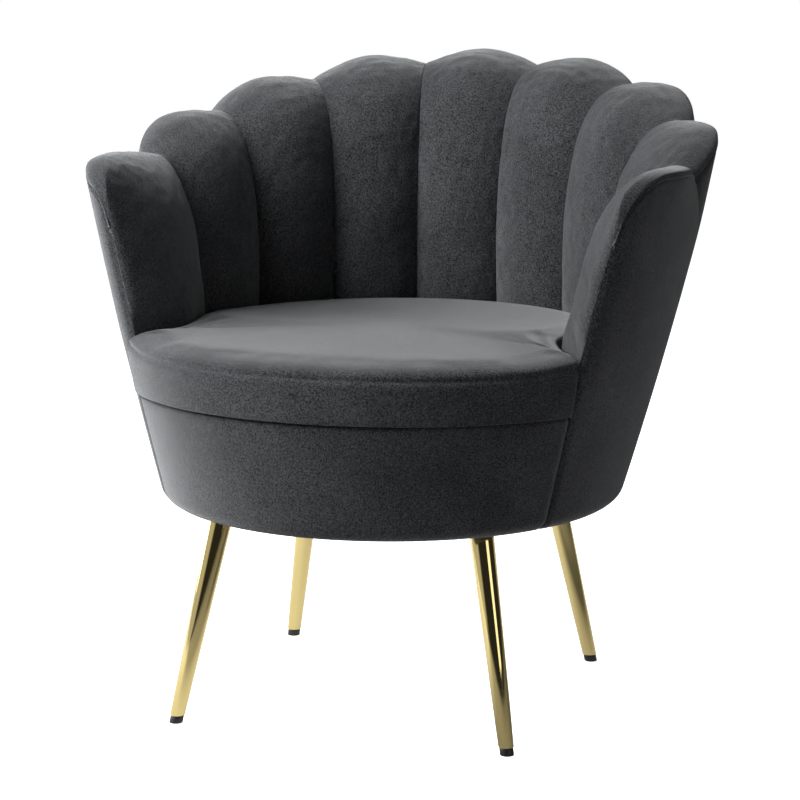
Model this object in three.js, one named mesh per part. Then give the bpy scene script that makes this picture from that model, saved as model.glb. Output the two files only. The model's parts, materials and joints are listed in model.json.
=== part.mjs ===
// Scallop back chair: a round upholstered tub chair whose back is nine padded petals, with a loose
// boxed seat cushion on a drum base and four splayed, tapered metal legs.
// Millimetres, +Z up. The chair faces -Y and stands on z = 0, centred on its own bounding box.

import * as THREE from "three";

// Clearances
const gap = 0.3;
const coverGap = 0.8;
const padToBoardGap = 1.2;
const lipGap = 1.8;
const ribGap = 1.1;
const armRibGap = 4;
const petalGap = 0.5;
const cushionGap = 1.6;
const foamGap = 0.9;

// Round shell, as three stations of the outer surface: drum rim, seat line and back rim
const drumStationHeight = 280;
const seatStationHeight = 440;
const backTopHeight = 778;
const drumStationRadius = 287;
const seatStationRadius = 330.5;
const rimStationRadius = 409;
const drumStationCentre = 3;
const seatStationCentre = 14.5;
const rimStationCentre = 22;
const drumFrontFlat = 2;
const seatFrontFlat = 15.5;
const frontFlatAngle = 115;

// Petals of the back, numbered from the left arm round to the right arm
const petalCount = 9;
const petalStepAngle = 23.7;
const sidePetalHeight = 699;
const armTopHeight = 667;
const armCornerHeight = 67;
const armSeamSeatAngle = 122.8;
const armSeamShoulderAngle = 118.6;
const armPeakShare = 0.1;
const armCornerShare = 0.4;
const backScallopDepth = 18;
const armScallopDepth = 20;
const scallopPower = 1.6;
const cornerPower = 2.35;
const petalBulge = 23;
const bulgePower = 0.8;
const armBulgeShare = 0.3;
const armTuck = 9;
const tuckPower = 1.5;
const backLobeDepth = 9;
const armLobeDepth = 26;
const armLobeShare = 0.3;
const lobePower = 1.7;
const lobeFade = 95;

// Padded wall of the back, from the outer surface inward
const wallLevel = 450;
const wallDepthAtSeat = 64;
const backWallGrowth = 44;
const armWallGrowth = 16;
const backGrowthHeight = 186;
const armGrowthHeight = 118;
const wallGrowthPower = 1.6;
const rollHeight = 95;
const rollLimitShare = 0.5;
const rollPower = 2.3;
const rollApexDepth = 16;
const seamDrop = 14;
const noseReach = 110;
const nosePower = 3.4;
const noseEdgeDepth = 8.5;
const noseFoam = 14;
const grooveFoam = 12;
const topFoam = 22;

// Covers and bent boards of the wall
const coverThickness = 6;
const outsideBoardThickness = 4;
const insideBoardThickness = 5;
const insideBoardEndShare = 0.7;
const outsideBoardEndShare = 0.88;
const rimRounding = 16;
const rimFlangeWidth = 32;
const rimFlangeThickness = 2.7;
const topFlangeWidth = 30;
const topEdgeRounding = 5;

// Drum base
const drumUnderside = 253;
const baseBoardThickness = 18;
const baseBoardHoleRadius = 110;
const linerLift = 2;
const seatFrameTop = 384;
const seatRingThickness = 18;
const seatRingWidth = 85;
const postWidth = 60;
const postDepth = 25;
const postInset = 3.2;
const postAngles = [0, 60, 120, 180, 240, 300];
const dustCoverThickness = 1.5;

// Ribs of the back
const ribThickness = 15;
const armRibShare = 0.2;

// Seat webbing and deck
const strapWidth = 50;
const strapThickness = 1.8;
const strapSpacing = 125;
const strapsEachWay = 3;
const strapLap = 40;
const deckThickness = 2.2;

// Seat cushion
const cushionHeight = 51;
const cushionCrown = 16;
const crownPower = 2.4;
const cushionRise = 13;
const riseAngle = 108;
const levelAngle = 136;
const cushionOverhang = 4;
const boxingBulge = 3;
const cushionCloth = 1.5;
const earTurnAngle = 0.25;

// Legs
const legTopOffset = 160;
const legFootOffset = 205.5;
const legTopRadius = 14.5;
const legFootRadius = 9;
const glideRadius = 8.2;
const glideHeight = 9;
const glideStemRadius = 4.5;
const glideStemHeight = 22;
const studRadius = 4;
const studInLeg = 12;
const studInBoard = 22;
const nutBarrelRadius = 5.2;
const nutBarrelDepth = 12;
const nutFlangeRadius = 11;
const nutFlangeThickness = 1.6;

// Materials
const velvet = () => new THREE.MeshStandardMaterial({ color: "#54585b", roughness: 0.85, metalness: 0 });
const foam = () => new THREE.MeshStandardMaterial({ color: "#e4dcc3", roughness: 0.95, metalness: 0 });
const plywood = () => new THREE.MeshStandardMaterial({ color: "#c9a574", roughness: 0.7, metalness: 0 });
const fibreboard = () => new THREE.MeshStandardMaterial({ color: "#8f6b46", roughness: 0.85, metalness: 0 });
const webbing = () => new THREE.MeshStandardMaterial({ color: "#2f3134", roughness: 0.9, metalness: 0 });
const felt = () => new THREE.MeshStandardMaterial({ color: "#26272a", roughness: 0.95, metalness: 0 });
const brass = () => new THREE.MeshStandardMaterial({ color: "#c99a3a", roughness: 0.18, metalness: 1 });
const zincSteel = () => new THREE.MeshStandardMaterial({ color: "#b4b7ba", roughness: 0.35, metalness: 1 });
const plastic = () => new THREE.MeshStandardMaterial({ color: "#16161a", roughness: 0.5, metalness: 0 });

const radians = THREE.MathUtils.degToRad;
const mix = THREE.MathUtils.lerp;
const clamp = THREE.MathUtils.clamp;

// A closed solid skinned over rings of points. ends is "loop" to join the last ring to the first,
// "poles" to close both ends on their middle points, or "caps" to fill both end rings as outlines,
// which flatten turns into flat points.
function skin(rings, ends, flatten) {
  const count = rings[0].length;
  const points = rings.flat();
  const faces = [];
  const bands = ends === "loop" ? rings.length : rings.length - 1;
  for (let band = 0; band < bands; band += 1) {
    const low = band * count;
    const high = ((band + 1) % rings.length) * count;
    for (let step = 0; step < count; step += 1) {
      const next = (step + 1) % count;
      const [a, b, c, d] = [low + step, low + next, high + next, high + step];
      if (points[a].distanceTo(points[c]) <= points[b].distanceTo(points[d])) {
        faces.push([a, b, c], [a, c, d]);
      } else {
        faces.push([a, b, d], [b, c, d]);
      }
    }
  }
  const last = (rings.length - 1) * count;
  if (ends === "poles") {
    const firstPole = points.push(middleOf(rings[0])) - 1;
    const lastPole = points.push(middleOf(rings[rings.length - 1])) - 1;
    for (let step = 0; step < count; step += 1) {
      const next = (step + 1) % count;
      faces.push([firstPole, next, step]);
      faces.push([lastPole, last + step, last + next]);
    }
  }
  if (ends === "caps") {
    for (const [a, b, c] of fill(rings[0].map(flatten))) {
      faces.push([a, c, b]);
    }
    for (const [a, b, c] of fill(rings[rings.length - 1].map(flatten))) {
      faces.push([last + a, last + b, last + c]);
    }
  }
  return solidOf(points, faces);
}

function middleOf(ring) {
  const middle = new THREE.Vector3();
  ring.forEach((point) => middle.add(point));
  return middle.divideScalar(ring.length);
}

// Triangles that fill a flat outline, all wound the way the outline runs.
function fill(outline) {
  const way = Math.sign(THREE.ShapeUtils.area(outline));
  return THREE.ShapeUtils.triangulateShape(outline, []).map(([a, b, c]) => {
    const turn = Math.sign(THREE.ShapeUtils.area([outline[a], outline[b], outline[c]]));
    return turn === way ? [a, b, c] : [a, c, b];
  });
}

// A geometry from points and faces, turned so that its faces point outward.
function solidOf(points, faces) {
  let volume = 0;
  const cross = new THREE.Vector3();
  for (const [a, b, c] of faces) {
    volume += points[a].dot(cross.crossVectors(points[b], points[c]));
  }
  const wound = volume < 0 ? faces.map(([a, b, c]) => [a, c, b]) : faces;
  const geometry = new THREE.BufferGeometry().setFromPoints(points);
  geometry.setIndex(wound.flat());
  geometry.computeVertexNormals();
  return geometry;
}

// The curve through three stations, at a height between or beyond them.
function throughStations(height, drumValue, seatValue, rimValue) {
  const [low, middle, high] = [drumStationHeight, seatStationHeight, backTopHeight];
  return (
    (drumValue * (height - middle) * (height - high)) / ((low - middle) * (low - high)) +
    (seatValue * (height - low) * (height - high)) / ((middle - low) * (middle - high)) +
    (rimValue * (height - low) * (height - middle)) / ((high - low) * (high - middle))
  );
}

const ringCentre = (z) => throughStations(z, drumStationCentre, seatStationCentre, rimStationCentre);
const outerRadius = (z) => throughStations(z, drumStationRadius, seatStationRadius, rimStationRadius);

// Radius of the outer surface at an angle from +Y: round, and a little flatter across the front.
function ringRadius(angle, z) {
  const rise = (z - drumStationHeight) / (seatStationHeight - drumStationHeight);
  const flat = mix(drumFrontFlat, seatFrontFlat, rise);
  const turn = clamp((Math.abs(angle) - frontFlatAngle) / (180 - frontFlatAngle), 0, 1);
  return outerRadius(z) - flat * Math.sin(radians(90 * turn)) ** 2;
}

// The point at an angle, radius and height round the shell's leaning axis.
function ringPoint(angle, radius, z) {
  const turn = radians(angle);
  return new THREE.Vector3(radius * Math.sin(turn), ringCentre(z) + radius * Math.cos(turn), z);
}

const flatSection = (point) => new THREE.Vector2(Math.hypot(point.x, point.y - ringCentre(point.z)), point.z);
const flatPlan = (point) => new THREE.Vector2(point.x, point.y);

// Petals: share runs from -1 at a petal's left groove to 1 at its right one
const lastPetal = petalCount - 1;
const outerGrooveAngle = (petalCount / 2 - 1) * petalStepAngle;
const isArmPetal = (petal) => petal === 0 || petal === lastPetal;
const armSide = (petal) => (petal === 0 ? -1 : 1);

const armShoulderLevel = armTopHeight - armCornerHeight;

function armSeamAngle(z) {
  const rise = Math.max(0, (z - seatStationHeight) / (armShoulderLevel - seatStationHeight));
  return mix(armSeamSeatAngle, armSeamShoulderAngle, rise);
}

function petalAngle(petal, share, z) {
  if (isArmPetal(petal)) {
    const side = armSide(petal);
    return side * mix(outerGrooveAngle, armSeamAngle(z), (1 + side * share) / 2);
  }
  return (petal - lastPetal / 2 + share / 2) * petalStepAngle;
}

// How far round an angle is from the middle of the back to the arms' grooves, 0 to 1.
function towardArm(angle) {
  const turned = Math.min(Math.abs(angle), outerGrooveAngle);
  return (1 - Math.cos(radians(turned))) / (1 - Math.cos(radians(outerGrooveAngle)));
}

const sidePetalShare = towardArm((lastPetal / 2 - 1) * petalStepAngle);

function rimPlane(angle) {
  const fall = towardArm(angle) / sidePetalShare;
  return mix(backTopHeight, sidePetalHeight, fall);
}

const scallopDepth = (angle) => mix(backScallopDepth, armScallopDepth, towardArm(angle));
const valleyHeight = (angle) => rimPlane(angle) - scallopDepth(angle);

// Height of the rim of a petal: an arc between two valleys, and on the arms a long rounded corner.
function rimHeight(petal, share) {
  if (!isArmPetal(petal)) {
    const angle = petalAngle(petal, share, backTopHeight);
    return rimPlane(angle) - scallopDepth(angle) * Math.abs(share) ** scallopPower;
  }
  const outward = armSide(petal) * share;
  if (outward < armPeakShare) {
    const fall = (armPeakShare - outward) / (1 + armPeakShare);
    return armTopHeight - (armTopHeight - valleyHeight(outerGrooveAngle)) * fall ** scallopPower;
  }
  const turn = clamp((outward - armCornerShare) / (1 - armCornerShare), 0, 1);
  return mix(armShoulderLevel, armTopHeight, (1 - turn ** cornerPower) ** (1 / cornerPower));
}

// How full a petal is at a share of its width: 0 in its grooves and 1 on its crest.
function fullness(petal, share) {
  if (!isArmPetal(petal)) {
    return (1 - share ** 2) ** bulgePower;
  }
  const outward = armSide(petal) * share;
  const fromCrest = Math.max(0, (-armBulgeShare - outward) / (1 - armBulgeShare));
  return (1 - fromCrest ** 2) ** bulgePower;
}

// How far an arm's outer surface draws in toward the top of its front seam.
function tuckAt(petal, share, z) {
  const rise = clamp((z - wallLevel) / (armTopHeight - wallLevel), 0, 1);
  const frontward = isArmPetal(petal) ? Math.max(0, armSide(petal) * share) : 0;
  return armTuck * rise * frontward ** tuckPower;
}

// Depth of the outer valleys under the rim, which are deepest beside the arms and fade out downward.
function lobeDepth(petal, share, z) {
  const depth = mix(backLobeDepth, armLobeDepth, towardArm(petalAngle(petal, share, z)));
  if (!isArmPetal(petal)) {
    return depth * (1 - fullness(petal, share));
  }
  const fromCrest = Math.max(0, (armLobeShare - armSide(petal) * share) / (1 + armLobeShare));
  return depth * Math.sin(radians(90 * fromCrest)) ** lobePower;
}

function lobeFadeAt(petal, share, z) {
  const below = (rimHeight(petal, share) - z) / lobeFade;
  return Math.min(1, Math.max(0, 1 - below) ** 2);
}

// Radius of the outer surface behind a petal, which draws in at the valleys under the rim.
function shellRadius(petal, share, z) {
  const drawn = lobeDepth(petal, share, z) * lobeFadeAt(petal, share, z) + tuckAt(petal, share, z);
  return ringRadius(petalAngle(petal, share, z), z) - drawn;
}

// How much deeper the outer valleys draw in than the grooves of the face, so the wall is thinner there.
function wallThinning(petal, share, z) {
  const grooves = backLobeDepth * (1 - fullness(petal, share));
  return (lobeDepth(petal, share, z) - grooves) * lobeFadeAt(petal, share, z);
}

// Depth of the padded wall at a groove, which grows with height, most of all at the back.
function grooveDepth(angle, z) {
  const growthHeight = mix(backGrowthHeight, armGrowthHeight, towardArm(angle));
  const growth = mix(backWallGrowth, armWallGrowth, towardArm(angle));
  const rise = clamp((z - wallLevel) / growthHeight, 0, 1);
  return wallDepthAtSeat + growth * (1 - (1 - rise) ** wallGrowthPower);
}

// Share of the full depth that is left near an arm's front seam, set back along the arc by an inset.
function noseShare(petal, angle, z, inset) {
  if (!isArmPetal(petal)) {
    return 1;
  }
  const arc = radians(armSeamAngle(z) - Math.abs(angle)) * outerRadius(z) - inset;
  return 1 - (1 - clamp(arc / noseReach, 0, 1)) ** nosePower;
}

// Depth of a petal's face inward of the outer surface. Below the wall level the face stays upright.
function faceDepth(petal, share, z) {
  const level = Math.max(z, wallLevel);
  const angle = petalAngle(petal, share, level);
  const upright = outerRadius(z) - outerRadius(level);
  const full = grooveDepth(angle, level) + petalBulge * fullness(petal, share) + upright;
  return mix(noseEdgeDepth, full, noseShare(petal, angle, level, 0)) - wallThinning(petal, share, z);
}

const outsideBoardDepth = coverThickness + coverGap;
const frameDepth = outsideBoardDepth + outsideBoardThickness + gap;
const coreNearDepth = frameDepth + lipGap;

// Least depth of a petal's foam: behind the outside board, or right behind the cover past its end.
function nearDepth(petal, share) {
  const pastBoard = isArmPetal(petal) && armSide(petal) * share > outsideBoardEndShare;
  return pastBoard ? coverThickness + coverGap : coreNearDepth;
}

// Depth of the frame that a petal's foam is laid on.
function coreDepth(petal, share, z) {
  const level = Math.max(z, wallLevel);
  const angle = petalAngle(petal, share, level);
  const full = grooveDepth(angle, level) - grooveFoam + outerRadius(z) - outerRadius(level);
  const depth = full * noseShare(petal, angle, level, noseFoam) - wallThinning(petal, share, z);
  return Math.max(depth, nearDepth(petal, share));
}

const baseBoardUnderside = drumUnderside + rimFlangeThickness + gap;
const baseBoardTop = baseBoardUnderside + baseBoardThickness;
const linerBottom = baseBoardTop + linerLift;
const seatRingUnderside = seatFrameTop - seatRingThickness;
const strapReach = outerRadius(seatRingUnderside) - frameDepth - seatRingWidth + strapLap;
const lowerStrapHeight = seatFrameTop + gap;
const upperStrapHeight = lowerStrapHeight + strapThickness + gap;
const deckUnderside = upperStrapHeight + strapThickness + gap;
const deckTop = deckUnderside + deckThickness;
const padBottom = deckTop + gap;
const cushionBottom = deckTop + gap;
const cushionSeam = cushionBottom + cushionHeight;

// Rows of a petal's foam from its foot up to where the rim's roll starts, then turns of the roll
const faceRowShares = [0, 0.2, 0.6, 1];
const faceTurnAngles = [18, 36, 54, 72, 90];
const rimTurnAngles = [45, 90];
const coreTurnAngles = [30, 60, 90];

// Height of the rolled rim, which is no more than a share of the pad where the pad is low.
function rollHeightAt(petal, share) {
  return Math.min(rollHeight, rollLimitShare * (rimHeight(petal, share) - padBottom));
}

function rowHeights(petal, share) {
  const roll = rollHeightAt(petal, share);
  const rollStart = rimHeight(petal, share) - roll;
  const base = Math.min(wallLevel, rollStart - roll / 2);
  return [padBottom, ...faceRowShares.map((row) => mix(base, rollStart, row))];
}

// The frame's line under a petal's foam, from its foot to the top of its roll, as depth and height.
function coreLine(petal, share) {
  const roll = rollHeightAt(petal, share);
  const heights = rowHeights(petal, share);
  const rollStart = heights[heights.length - 1];
  const upright = heights.map((z) => ({ depth: coreDepth(petal, share, z), z }));
  const rolled = coreTurnAngles.map((turn) => {
    const rise = Math.sin(radians(turn)) ** (2 / rollPower);
    const reach = Math.cos(radians(turn)) ** (2 / rollPower);
    const z = rollStart + (roll - topFoam) * rise;
    return { depth: mix(nearDepth(petal, share), coreDepth(petal, share, z), reach), z };
  });
  return upright.concat(rolled);
}

// A petal's face from its foot, over its roll and down to the seam on the outer surface.
function faceLine(petal, share) {
  const rim = rimHeight(petal, share);
  const roll = rollHeightAt(petal, share);
  const heights = rowHeights(petal, share);
  const rollStart = heights[heights.length - 1];
  const upright = heights.map((z) => ({ depth: faceDepth(petal, share, z), z }));
  const rolled = faceTurnAngles.map((turn) => {
    const rise = Math.sin(radians(turn)) ** (2 / rollPower);
    const reach = Math.cos(radians(turn)) ** (2 / rollPower);
    const z = rollStart + roll * rise;
    return { depth: mix(rollApexDepth, faceDepth(petal, share, z), reach), z };
  });
  const outside = rimTurnAngles.map((turn) => ({
    depth: rollApexDepth * (1 - Math.sin(radians(turn))),
    z: rim - seamDrop * (1 - Math.cos(radians(turn))),
  }));
  return upright.concat(rolled, outside);
}

function wallPoint(petal, share, { depth, z }) {
  return ringPoint(petalAngle(petal, share, z), shellRadius(petal, share, z) - depth, z);
}

// Columns across a petal: the covers and boards take every column of the coarse list
const coarseShares = [-1, -0.75, -0.5, 0, 0.5, 0.75, 1];
const fineShares = [-1, -0.75, -0.5, -0.25, 0, 0.25, 0.5, 0.75, 1];
const armCoarseShares = [-1, -0.85, -0.7, -0.4, -0.1, 0.2, 0.45, 0.7, 0.88, 1];
const armFineShares = [-1, -0.85, -0.7, -0.4, -0.1, 0.2, 0.45, 0.58, 0.7, 0.8, 0.88, 0.95, 1];

function coarseColumns(petal) {
  if (!isArmPetal(petal)) {
    return coarseShares;
  }
  return petal === 0 ? armCoarseShares.map((share) => -share).reverse() : armCoarseShares;
}

function fineColumns(petal) {
  if (!isArmPetal(petal)) {
    return fineShares;
  }
  return petal === 0 ? armFineShares.map((share) => -share).reverse() : armFineShares;
}

// Pulls a groove's column back by half the slit between two pads.
function slitShare(petal, share) {
  const width = radians(Math.abs(petalAngle(petal, 1, wallLevel) - petalAngle(petal, -1, wallLevel)));
  const slit = petalGap / (width * (outerRadius(wallLevel) - wallDepthAtSeat - petalBulge));
  const armEnd = isArmPetal(petal) && share === armSide(petal);
  return armEnd ? share : clamp(share, -1 + slit, 1 - slit);
}

function petalPad(petal) {
  const rings = fineColumns(petal).map((column) => {
    const share = slitShare(petal, column);
    const face = faceLine(petal, share);
    const lipHeight = face[face.length - 1].z;
    const lip = { depth: nearDepth(petal, share), z: lipHeight };
    const back = coreLine(petal, share).reverse();
    return [...face, lip, ...back].map((place) => wallPoint(petal, share, place));
  });
  return skin(rings, "caps", flatSection);
}

// Every column of the wall from the left arm's seam to the right one, each groove taken once.
function wallColumns(columnsOf) {
  const columns = [];
  for (let petal = 0; petal < petalCount; petal += 1) {
    const shares = columnsOf(petal);
    const kept = petal === 0 ? shares : shares.slice(1);
    kept.forEach((share) => columns.push({ petal, share }));
  }
  return columns;
}

const wallRowShares = [0, 0.3, 0.6, 0.7, 0.85, 1];

// Heights of the outer cover and of the board behind it, up to an edge under the rim's seam.
function shellHeights(edge) {
  const start = Math.min(seatFrameTop, edge - lobeFade);
  return [linerBottom, ...wallRowShares.map((row) => mix(start, edge, row))];
}

// Bottom edge of a cover: a flange under the drum, then a quarter round up to the wall.
function rimCurve(inset, bottom) {
  const start = drumUnderside + rimRounding;
  const reach = rimRounding - inset;
  const turns = [90, 60, 30, 0];
  return turns.map((turn) => ({
    inward: inset + reach * (1 - Math.cos(radians(turn))),
    z: start - (start - bottom) * Math.sin(radians(turn)),
  }));
}

function outsideCover() {
  const rings = wallColumns(coarseColumns).map(({ petal, share }) => {
    const heights = shellHeights(rimHeight(petal, share) - seamDrop - gap);
    const flangeTop = drumUnderside + rimFlangeThickness;
    const at = (depth, z) => wallPoint(petal, share, { depth, z });
    const below = rimCurve(0, drumUnderside).map(({ inward, z }) => at(inward, z));
    const above = rimCurve(coverThickness, flangeTop).map(({ inward, z }) => at(inward, z));
    return [
      at(rimFlangeWidth, drumUnderside),
      ...below,
      ...heights.map((z) => at(0, z)),
      ...heights.map((z) => at(coverThickness, z)).reverse(),
      ...above.reverse(),
      at(rimFlangeWidth, flangeTop),
    ];
  });
  return skin(rings, "caps", flatSection);
}

// The columns that lie no further round the arms than a share of their width.
function columnsWithin(endShare) {
  return wallColumns(coarseColumns).filter(
    ({ petal, share }) => !isArmPetal(petal) || armSide(petal) * share <= endShare
  );
}

function outsideBoard() {
  const rings = columnsWithin(outsideBoardEndShare).map(({ petal, share }) => {
    const heights = shellHeights(rimHeight(petal, share) - seamDrop - gap);
    const line = (depth) => heights.map((z) => wallPoint(petal, share, { depth, z }));
    return [...line(outsideBoardDepth), ...line(outsideBoardDepth + outsideBoardThickness).reverse()];
  });
  return skin(rings, "caps", flatSection);
}

// The bent board that the petals' foam is glued to.
function insideBoard() {
  const rings = columnsWithin(insideBoardEndShare).map(({ petal, share }) => {
    const line = coreLine(petal, share);
    const rows = line.slice(0, line.length - 1);
    const foot = { depth: coreDepth(petal, share, seatFrameTop + gap), z: seatFrameTop + gap };
    const behind = (depth) =>
      [foot, ...rows].map((row) => wallPoint(petal, share, { depth: row.depth - depth, z: row.z }));
    return [...behind(padToBoardGap), ...behind(padToBoardGap + insideBoardThickness).reverse()];
  });
  return skin(rings, "caps", flatSection);
}

// The share of a petal's width at an angle. An arm's front seam leans, so there it changes with height.
function shareAt(petal, angle, z) {
  if (!isArmPetal(petal)) {
    return (2 * angle) / petalStepAngle - 2 * petal + lastPetal;
  }
  const turned = (Math.abs(angle) - outerGrooveAngle) / (armSeamAngle(z) - outerGrooveAngle);
  return armSide(petal) * (2 * turned - 1);
}

// A plywood rib on edge between the two bent boards, standing on the seat ring.
function backRib(petal, share, clearance) {
  const angle = petalAngle(petal, share, wallLevel);
  const shareHere = (z) => clamp(shareAt(petal, angle, z), -1, 1);
  const line = coreLine(petal, share);
  const rows = line.slice(0, line.length - 2).map(({ z }, row) => coreLine(petal, shareHere(z))[row]);
  const footHeight = seatFrameTop + gap;
  const foot = { depth: coreDepth(petal, shareHere(footHeight), footHeight), z: footHeight };
  const inward = padToBoardGap + insideBoardThickness + clearance;
  const places = [foot, ...rows].map(({ depth, z }) => ({
    near: shellRadius(petal, shareHere(z), z) - depth + inward,
    far: shellRadius(petal, shareHere(z), z) - frameDepth - clearance,
    centre: ringCentre(z),
    z,
  }));
  const outward = new THREE.Vector3(Math.sin(radians(angle)), Math.cos(radians(angle)), 0);
  const across = new THREE.Vector3(outward.y, -outward.x, 0);
  const side = (shift) => {
    const at = (radius, { centre, z }) =>
      new THREE.Vector3(0, centre, z).addScaledVector(outward, radius).addScaledVector(across, shift);
    const inner = places.map((place) => at(place.near, place));
    const outer = places.map((place) => at(place.far, place));
    return [...inner, ...outer.reverse()];
  };
  const halfThickness = ribThickness / 2;
  return skin([side(-halfThickness), side(halfThickness)], "caps", flatSection);
}

// Angles of the drum's front, from the right arm's seam round to the left one
const frontShares = [0, 0.08, 0.16, 0.24, 0.32, 0.41, 0.5, 0.59, 0.68, 0.76, 0.84, 0.92, 1];
const seamSlitAngle = 0.1;
const fullTurn = 360;

function frontAngles(slit) {
  const start = armSeamSeatAngle + slit;
  return frontShares.map((share) => mix(start, fullTurn - start, share));
}

const signedAngle = (angle) => (angle > fullTurn / 2 ? angle - fullTurn : angle);

function frontWallPoint(angle, depth, z) {
  return ringPoint(angle, ringRadius(signedAngle(angle), z) - depth, z);
}

function frontCover() {
  const rings = frontAngles(seamSlitAngle).map((angle) => {
    const flangeTop = drumUnderside + rimFlangeThickness;
    const at = (depth, z) => frontWallPoint(angle, depth, z);
    const below = rimCurve(0, drumUnderside).map(({ inward, z }) => at(inward, z));
    const above = rimCurve(coverThickness, flangeTop).map(({ inward, z }) => at(inward, z));
    return [
      at(rimFlangeWidth, drumUnderside),
      ...below,
      at(0, linerBottom),
      at(0, (linerBottom + seatFrameTop) / 2),
      at(0, deckTop - topEdgeRounding),
      at(topEdgeRounding, deckTop),
      at(topFlangeWidth, deckTop),
      at(topFlangeWidth, seatFrameTop + gap),
      at(coverThickness, seatFrameTop + gap),
      at(coverThickness, (linerBottom + seatFrameTop) / 2),
      at(coverThickness, linerBottom),
      ...above.reverse(),
      at(rimFlangeWidth, flangeTop),
    ];
  });
  return skin(rings, "caps", flatSection);
}

function frontBoard() {
  const rings = frontAngles(seamSlitAngle).map((angle) => {
    const heights = [linerBottom, (linerBottom + seatFrameTop) / 2, seatFrameTop];
    const line = (depth) => heights.map((z) => frontWallPoint(angle, depth, z));
    return [...line(outsideBoardDepth), ...line(outsideBoardDepth + outsideBoardThickness).reverse()];
  });
  return skin(rings, "caps", flatSection);
}

// The angles of every wall column and front column, once round the drum.
function drumAngles() {
  const wall = wallColumns(coarseColumns).map(({ petal, share }) => petalAngle(petal, share, seatFrameTop));
  return wall.concat(frontAngles(seamSlitAngle));
}

function drumOutline(radiusAt, z) {
  return drumAngles().map((angle) => ringPoint(angle, radiusAt(signedAngle(angle)), z));
}

function seatRing() {
  const outer = (angle) => ringRadius(angle, seatRingUnderside) - frameDepth;
  const inner = (angle) => outer(angle) - seatRingWidth;
  const shift = (ring, z) => ring.map((point) => point.clone().setZ(z));
  const outside = drumOutline(outer, seatRingUnderside);
  const inside = drumOutline(inner, seatRingUnderside);
  const rings = [outside, shift(outside, seatFrameTop), shift(inside, seatFrameTop), inside];
  return skin(rings, "loop");
}

const legCorners = [
  { name: "front_left", x: -1, y: -1 },
  { name: "front_right", x: 1, y: -1 },
  { name: "back_left", x: -1, y: 1 },
  { name: "back_right", x: 1, y: 1 },
];

// A flat board with round holes over the four legs' studs.
function drilledBoard(outline, thickness, holeRadius, middleHole) {
  const shape = new THREE.Shape(outline.map(flatPlan));
  for (const corner of legCorners) {
    const hole = new THREE.Path();
    hole.absarc(corner.x * legTopOffset, corner.y * legTopOffset, holeRadius, 0, 2 * Math.PI);
    shape.holes.push(hole);
  }
  if (middleHole > 0) {
    const hole = new THREE.Path();
    hole.absarc(0, ringCentre(baseBoardTop), middleHole, 0, 2 * Math.PI);
    shape.holes.push(hole);
  }
  return new THREE.ExtrudeGeometry(shape, { depth: thickness, bevelEnabled: false, curveSegments: 10 });
}

function baseBoard() {
  const radiusAt = (angle) => ringRadius(angle, baseBoardUnderside) - rimRounding - coverGap;
  const outline = drumOutline(radiusAt, baseBoardUnderside);
  return drilledBoard(outline, baseBoardThickness, nutBarrelRadius + gap, baseBoardHoleRadius);
}

function dustCover() {
  const radiusAt = (angle) => ringRadius(angle, drumUnderside) - rimFlangeWidth - gap;
  return drilledBoard(drumOutline(radiusAt, drumUnderside), dustCoverThickness, studRadius + gap, 0);
}

// The thin cloth deck over the webbing, inside the petals' board and the front cover's flange.
function seatDeck() {
  const petalSide = outerRadius(wallLevel) - wallDepthAtSeat + grooveFoam;
  const radiusAt = (angle) => Math.min(petalSide, ringRadius(angle, seatFrameTop) - topFlangeWidth) - gap;
  const low = drumOutline(radiusAt, deckUnderside);
  const high = low.map((point) => point.clone().setZ(deckTop));
  return skin([low, high], "poles");
}

// Cushion outline: a plain arc inside the petals, ears round the arms' fronts, and the drum's front
const cushionRearAngles = [0, 12, 24, 36, 48, 60, 72, 84, 95, 103];
const armFrontShares = armFineShares.filter((share) => share > 0);
const armFrontAngles = armFrontShares.map((share) => petalAngle(lastPetal, share, seatStationHeight));
const cushionEarAngles = [...armFrontAngles, armSeamSeatAngle + earTurnAngle];
const cushionFrontAngles = [armSeamSeatAngle + 2 * earTurnAngle, 130, 139, 149, 159, 169.5];
const crestRadius = outerRadius(wallLevel) - wallDepthAtSeat - petalBulge;

function cushionAngles() {
  const half = [...cushionRearAngles, ...cushionEarAngles, ...cushionFrontAngles];
  const mirrored = half.slice(1).map((angle) => -angle).reverse();
  return [...half, 180, ...mirrored];
}

// Radius that the cushion may reach beside an arm: its face, kept clear along the arc.
function armFaceRadius(angle, z) {
  const share = clamp(shareAt(lastPetal, Math.abs(angle) - earTurnAngle, z), -1, 1);
  return ringRadius(angle, z) - faceDepth(lastPetal, share, z);
}

function cushionRadius(angle, z) {
  const overhang = mix(cushionOverhang, 0, (z - cushionBottom) / cushionHeight);
  const free = ringRadius(angle, z) + overhang;
  if (Math.abs(angle) > armSeamSeatAngle + 1.5 * earTurnAngle) {
    return free;
  }
  const behindArms = Math.abs(angle) <= cushionRearAngles[cushionRearAngles.length - 1];
  return (behindArms ? crestRadius : armFaceRadius(angle, z)) - cushionGap;
}

// How far the cushion's top seam stands up where the petals squeeze its edge, over the seam in front.
function squeezedRise(angle) {
  const turn = clamp((levelAngle - Math.abs(angle)) / (levelAngle - riseAngle), 0, 1);
  return cushionRise * Math.sin(radians(90 * turn)) ** 2;
}

// One closed line of the cushion at a height, drawn in by an inset and scaled about its middle.
function cushionRing(z, inset, scale, riseShare) {
  return cushionAngles().map((angle) => {
    const level = clamp(z, cushionBottom, cushionSeam);
    const radius = (cushionRadius(angle, level) - inset) * scale;
    return ringPoint(angle, radius, level).setZ(z + squeezedRise(angle) * riseShare);
  });
}

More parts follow.
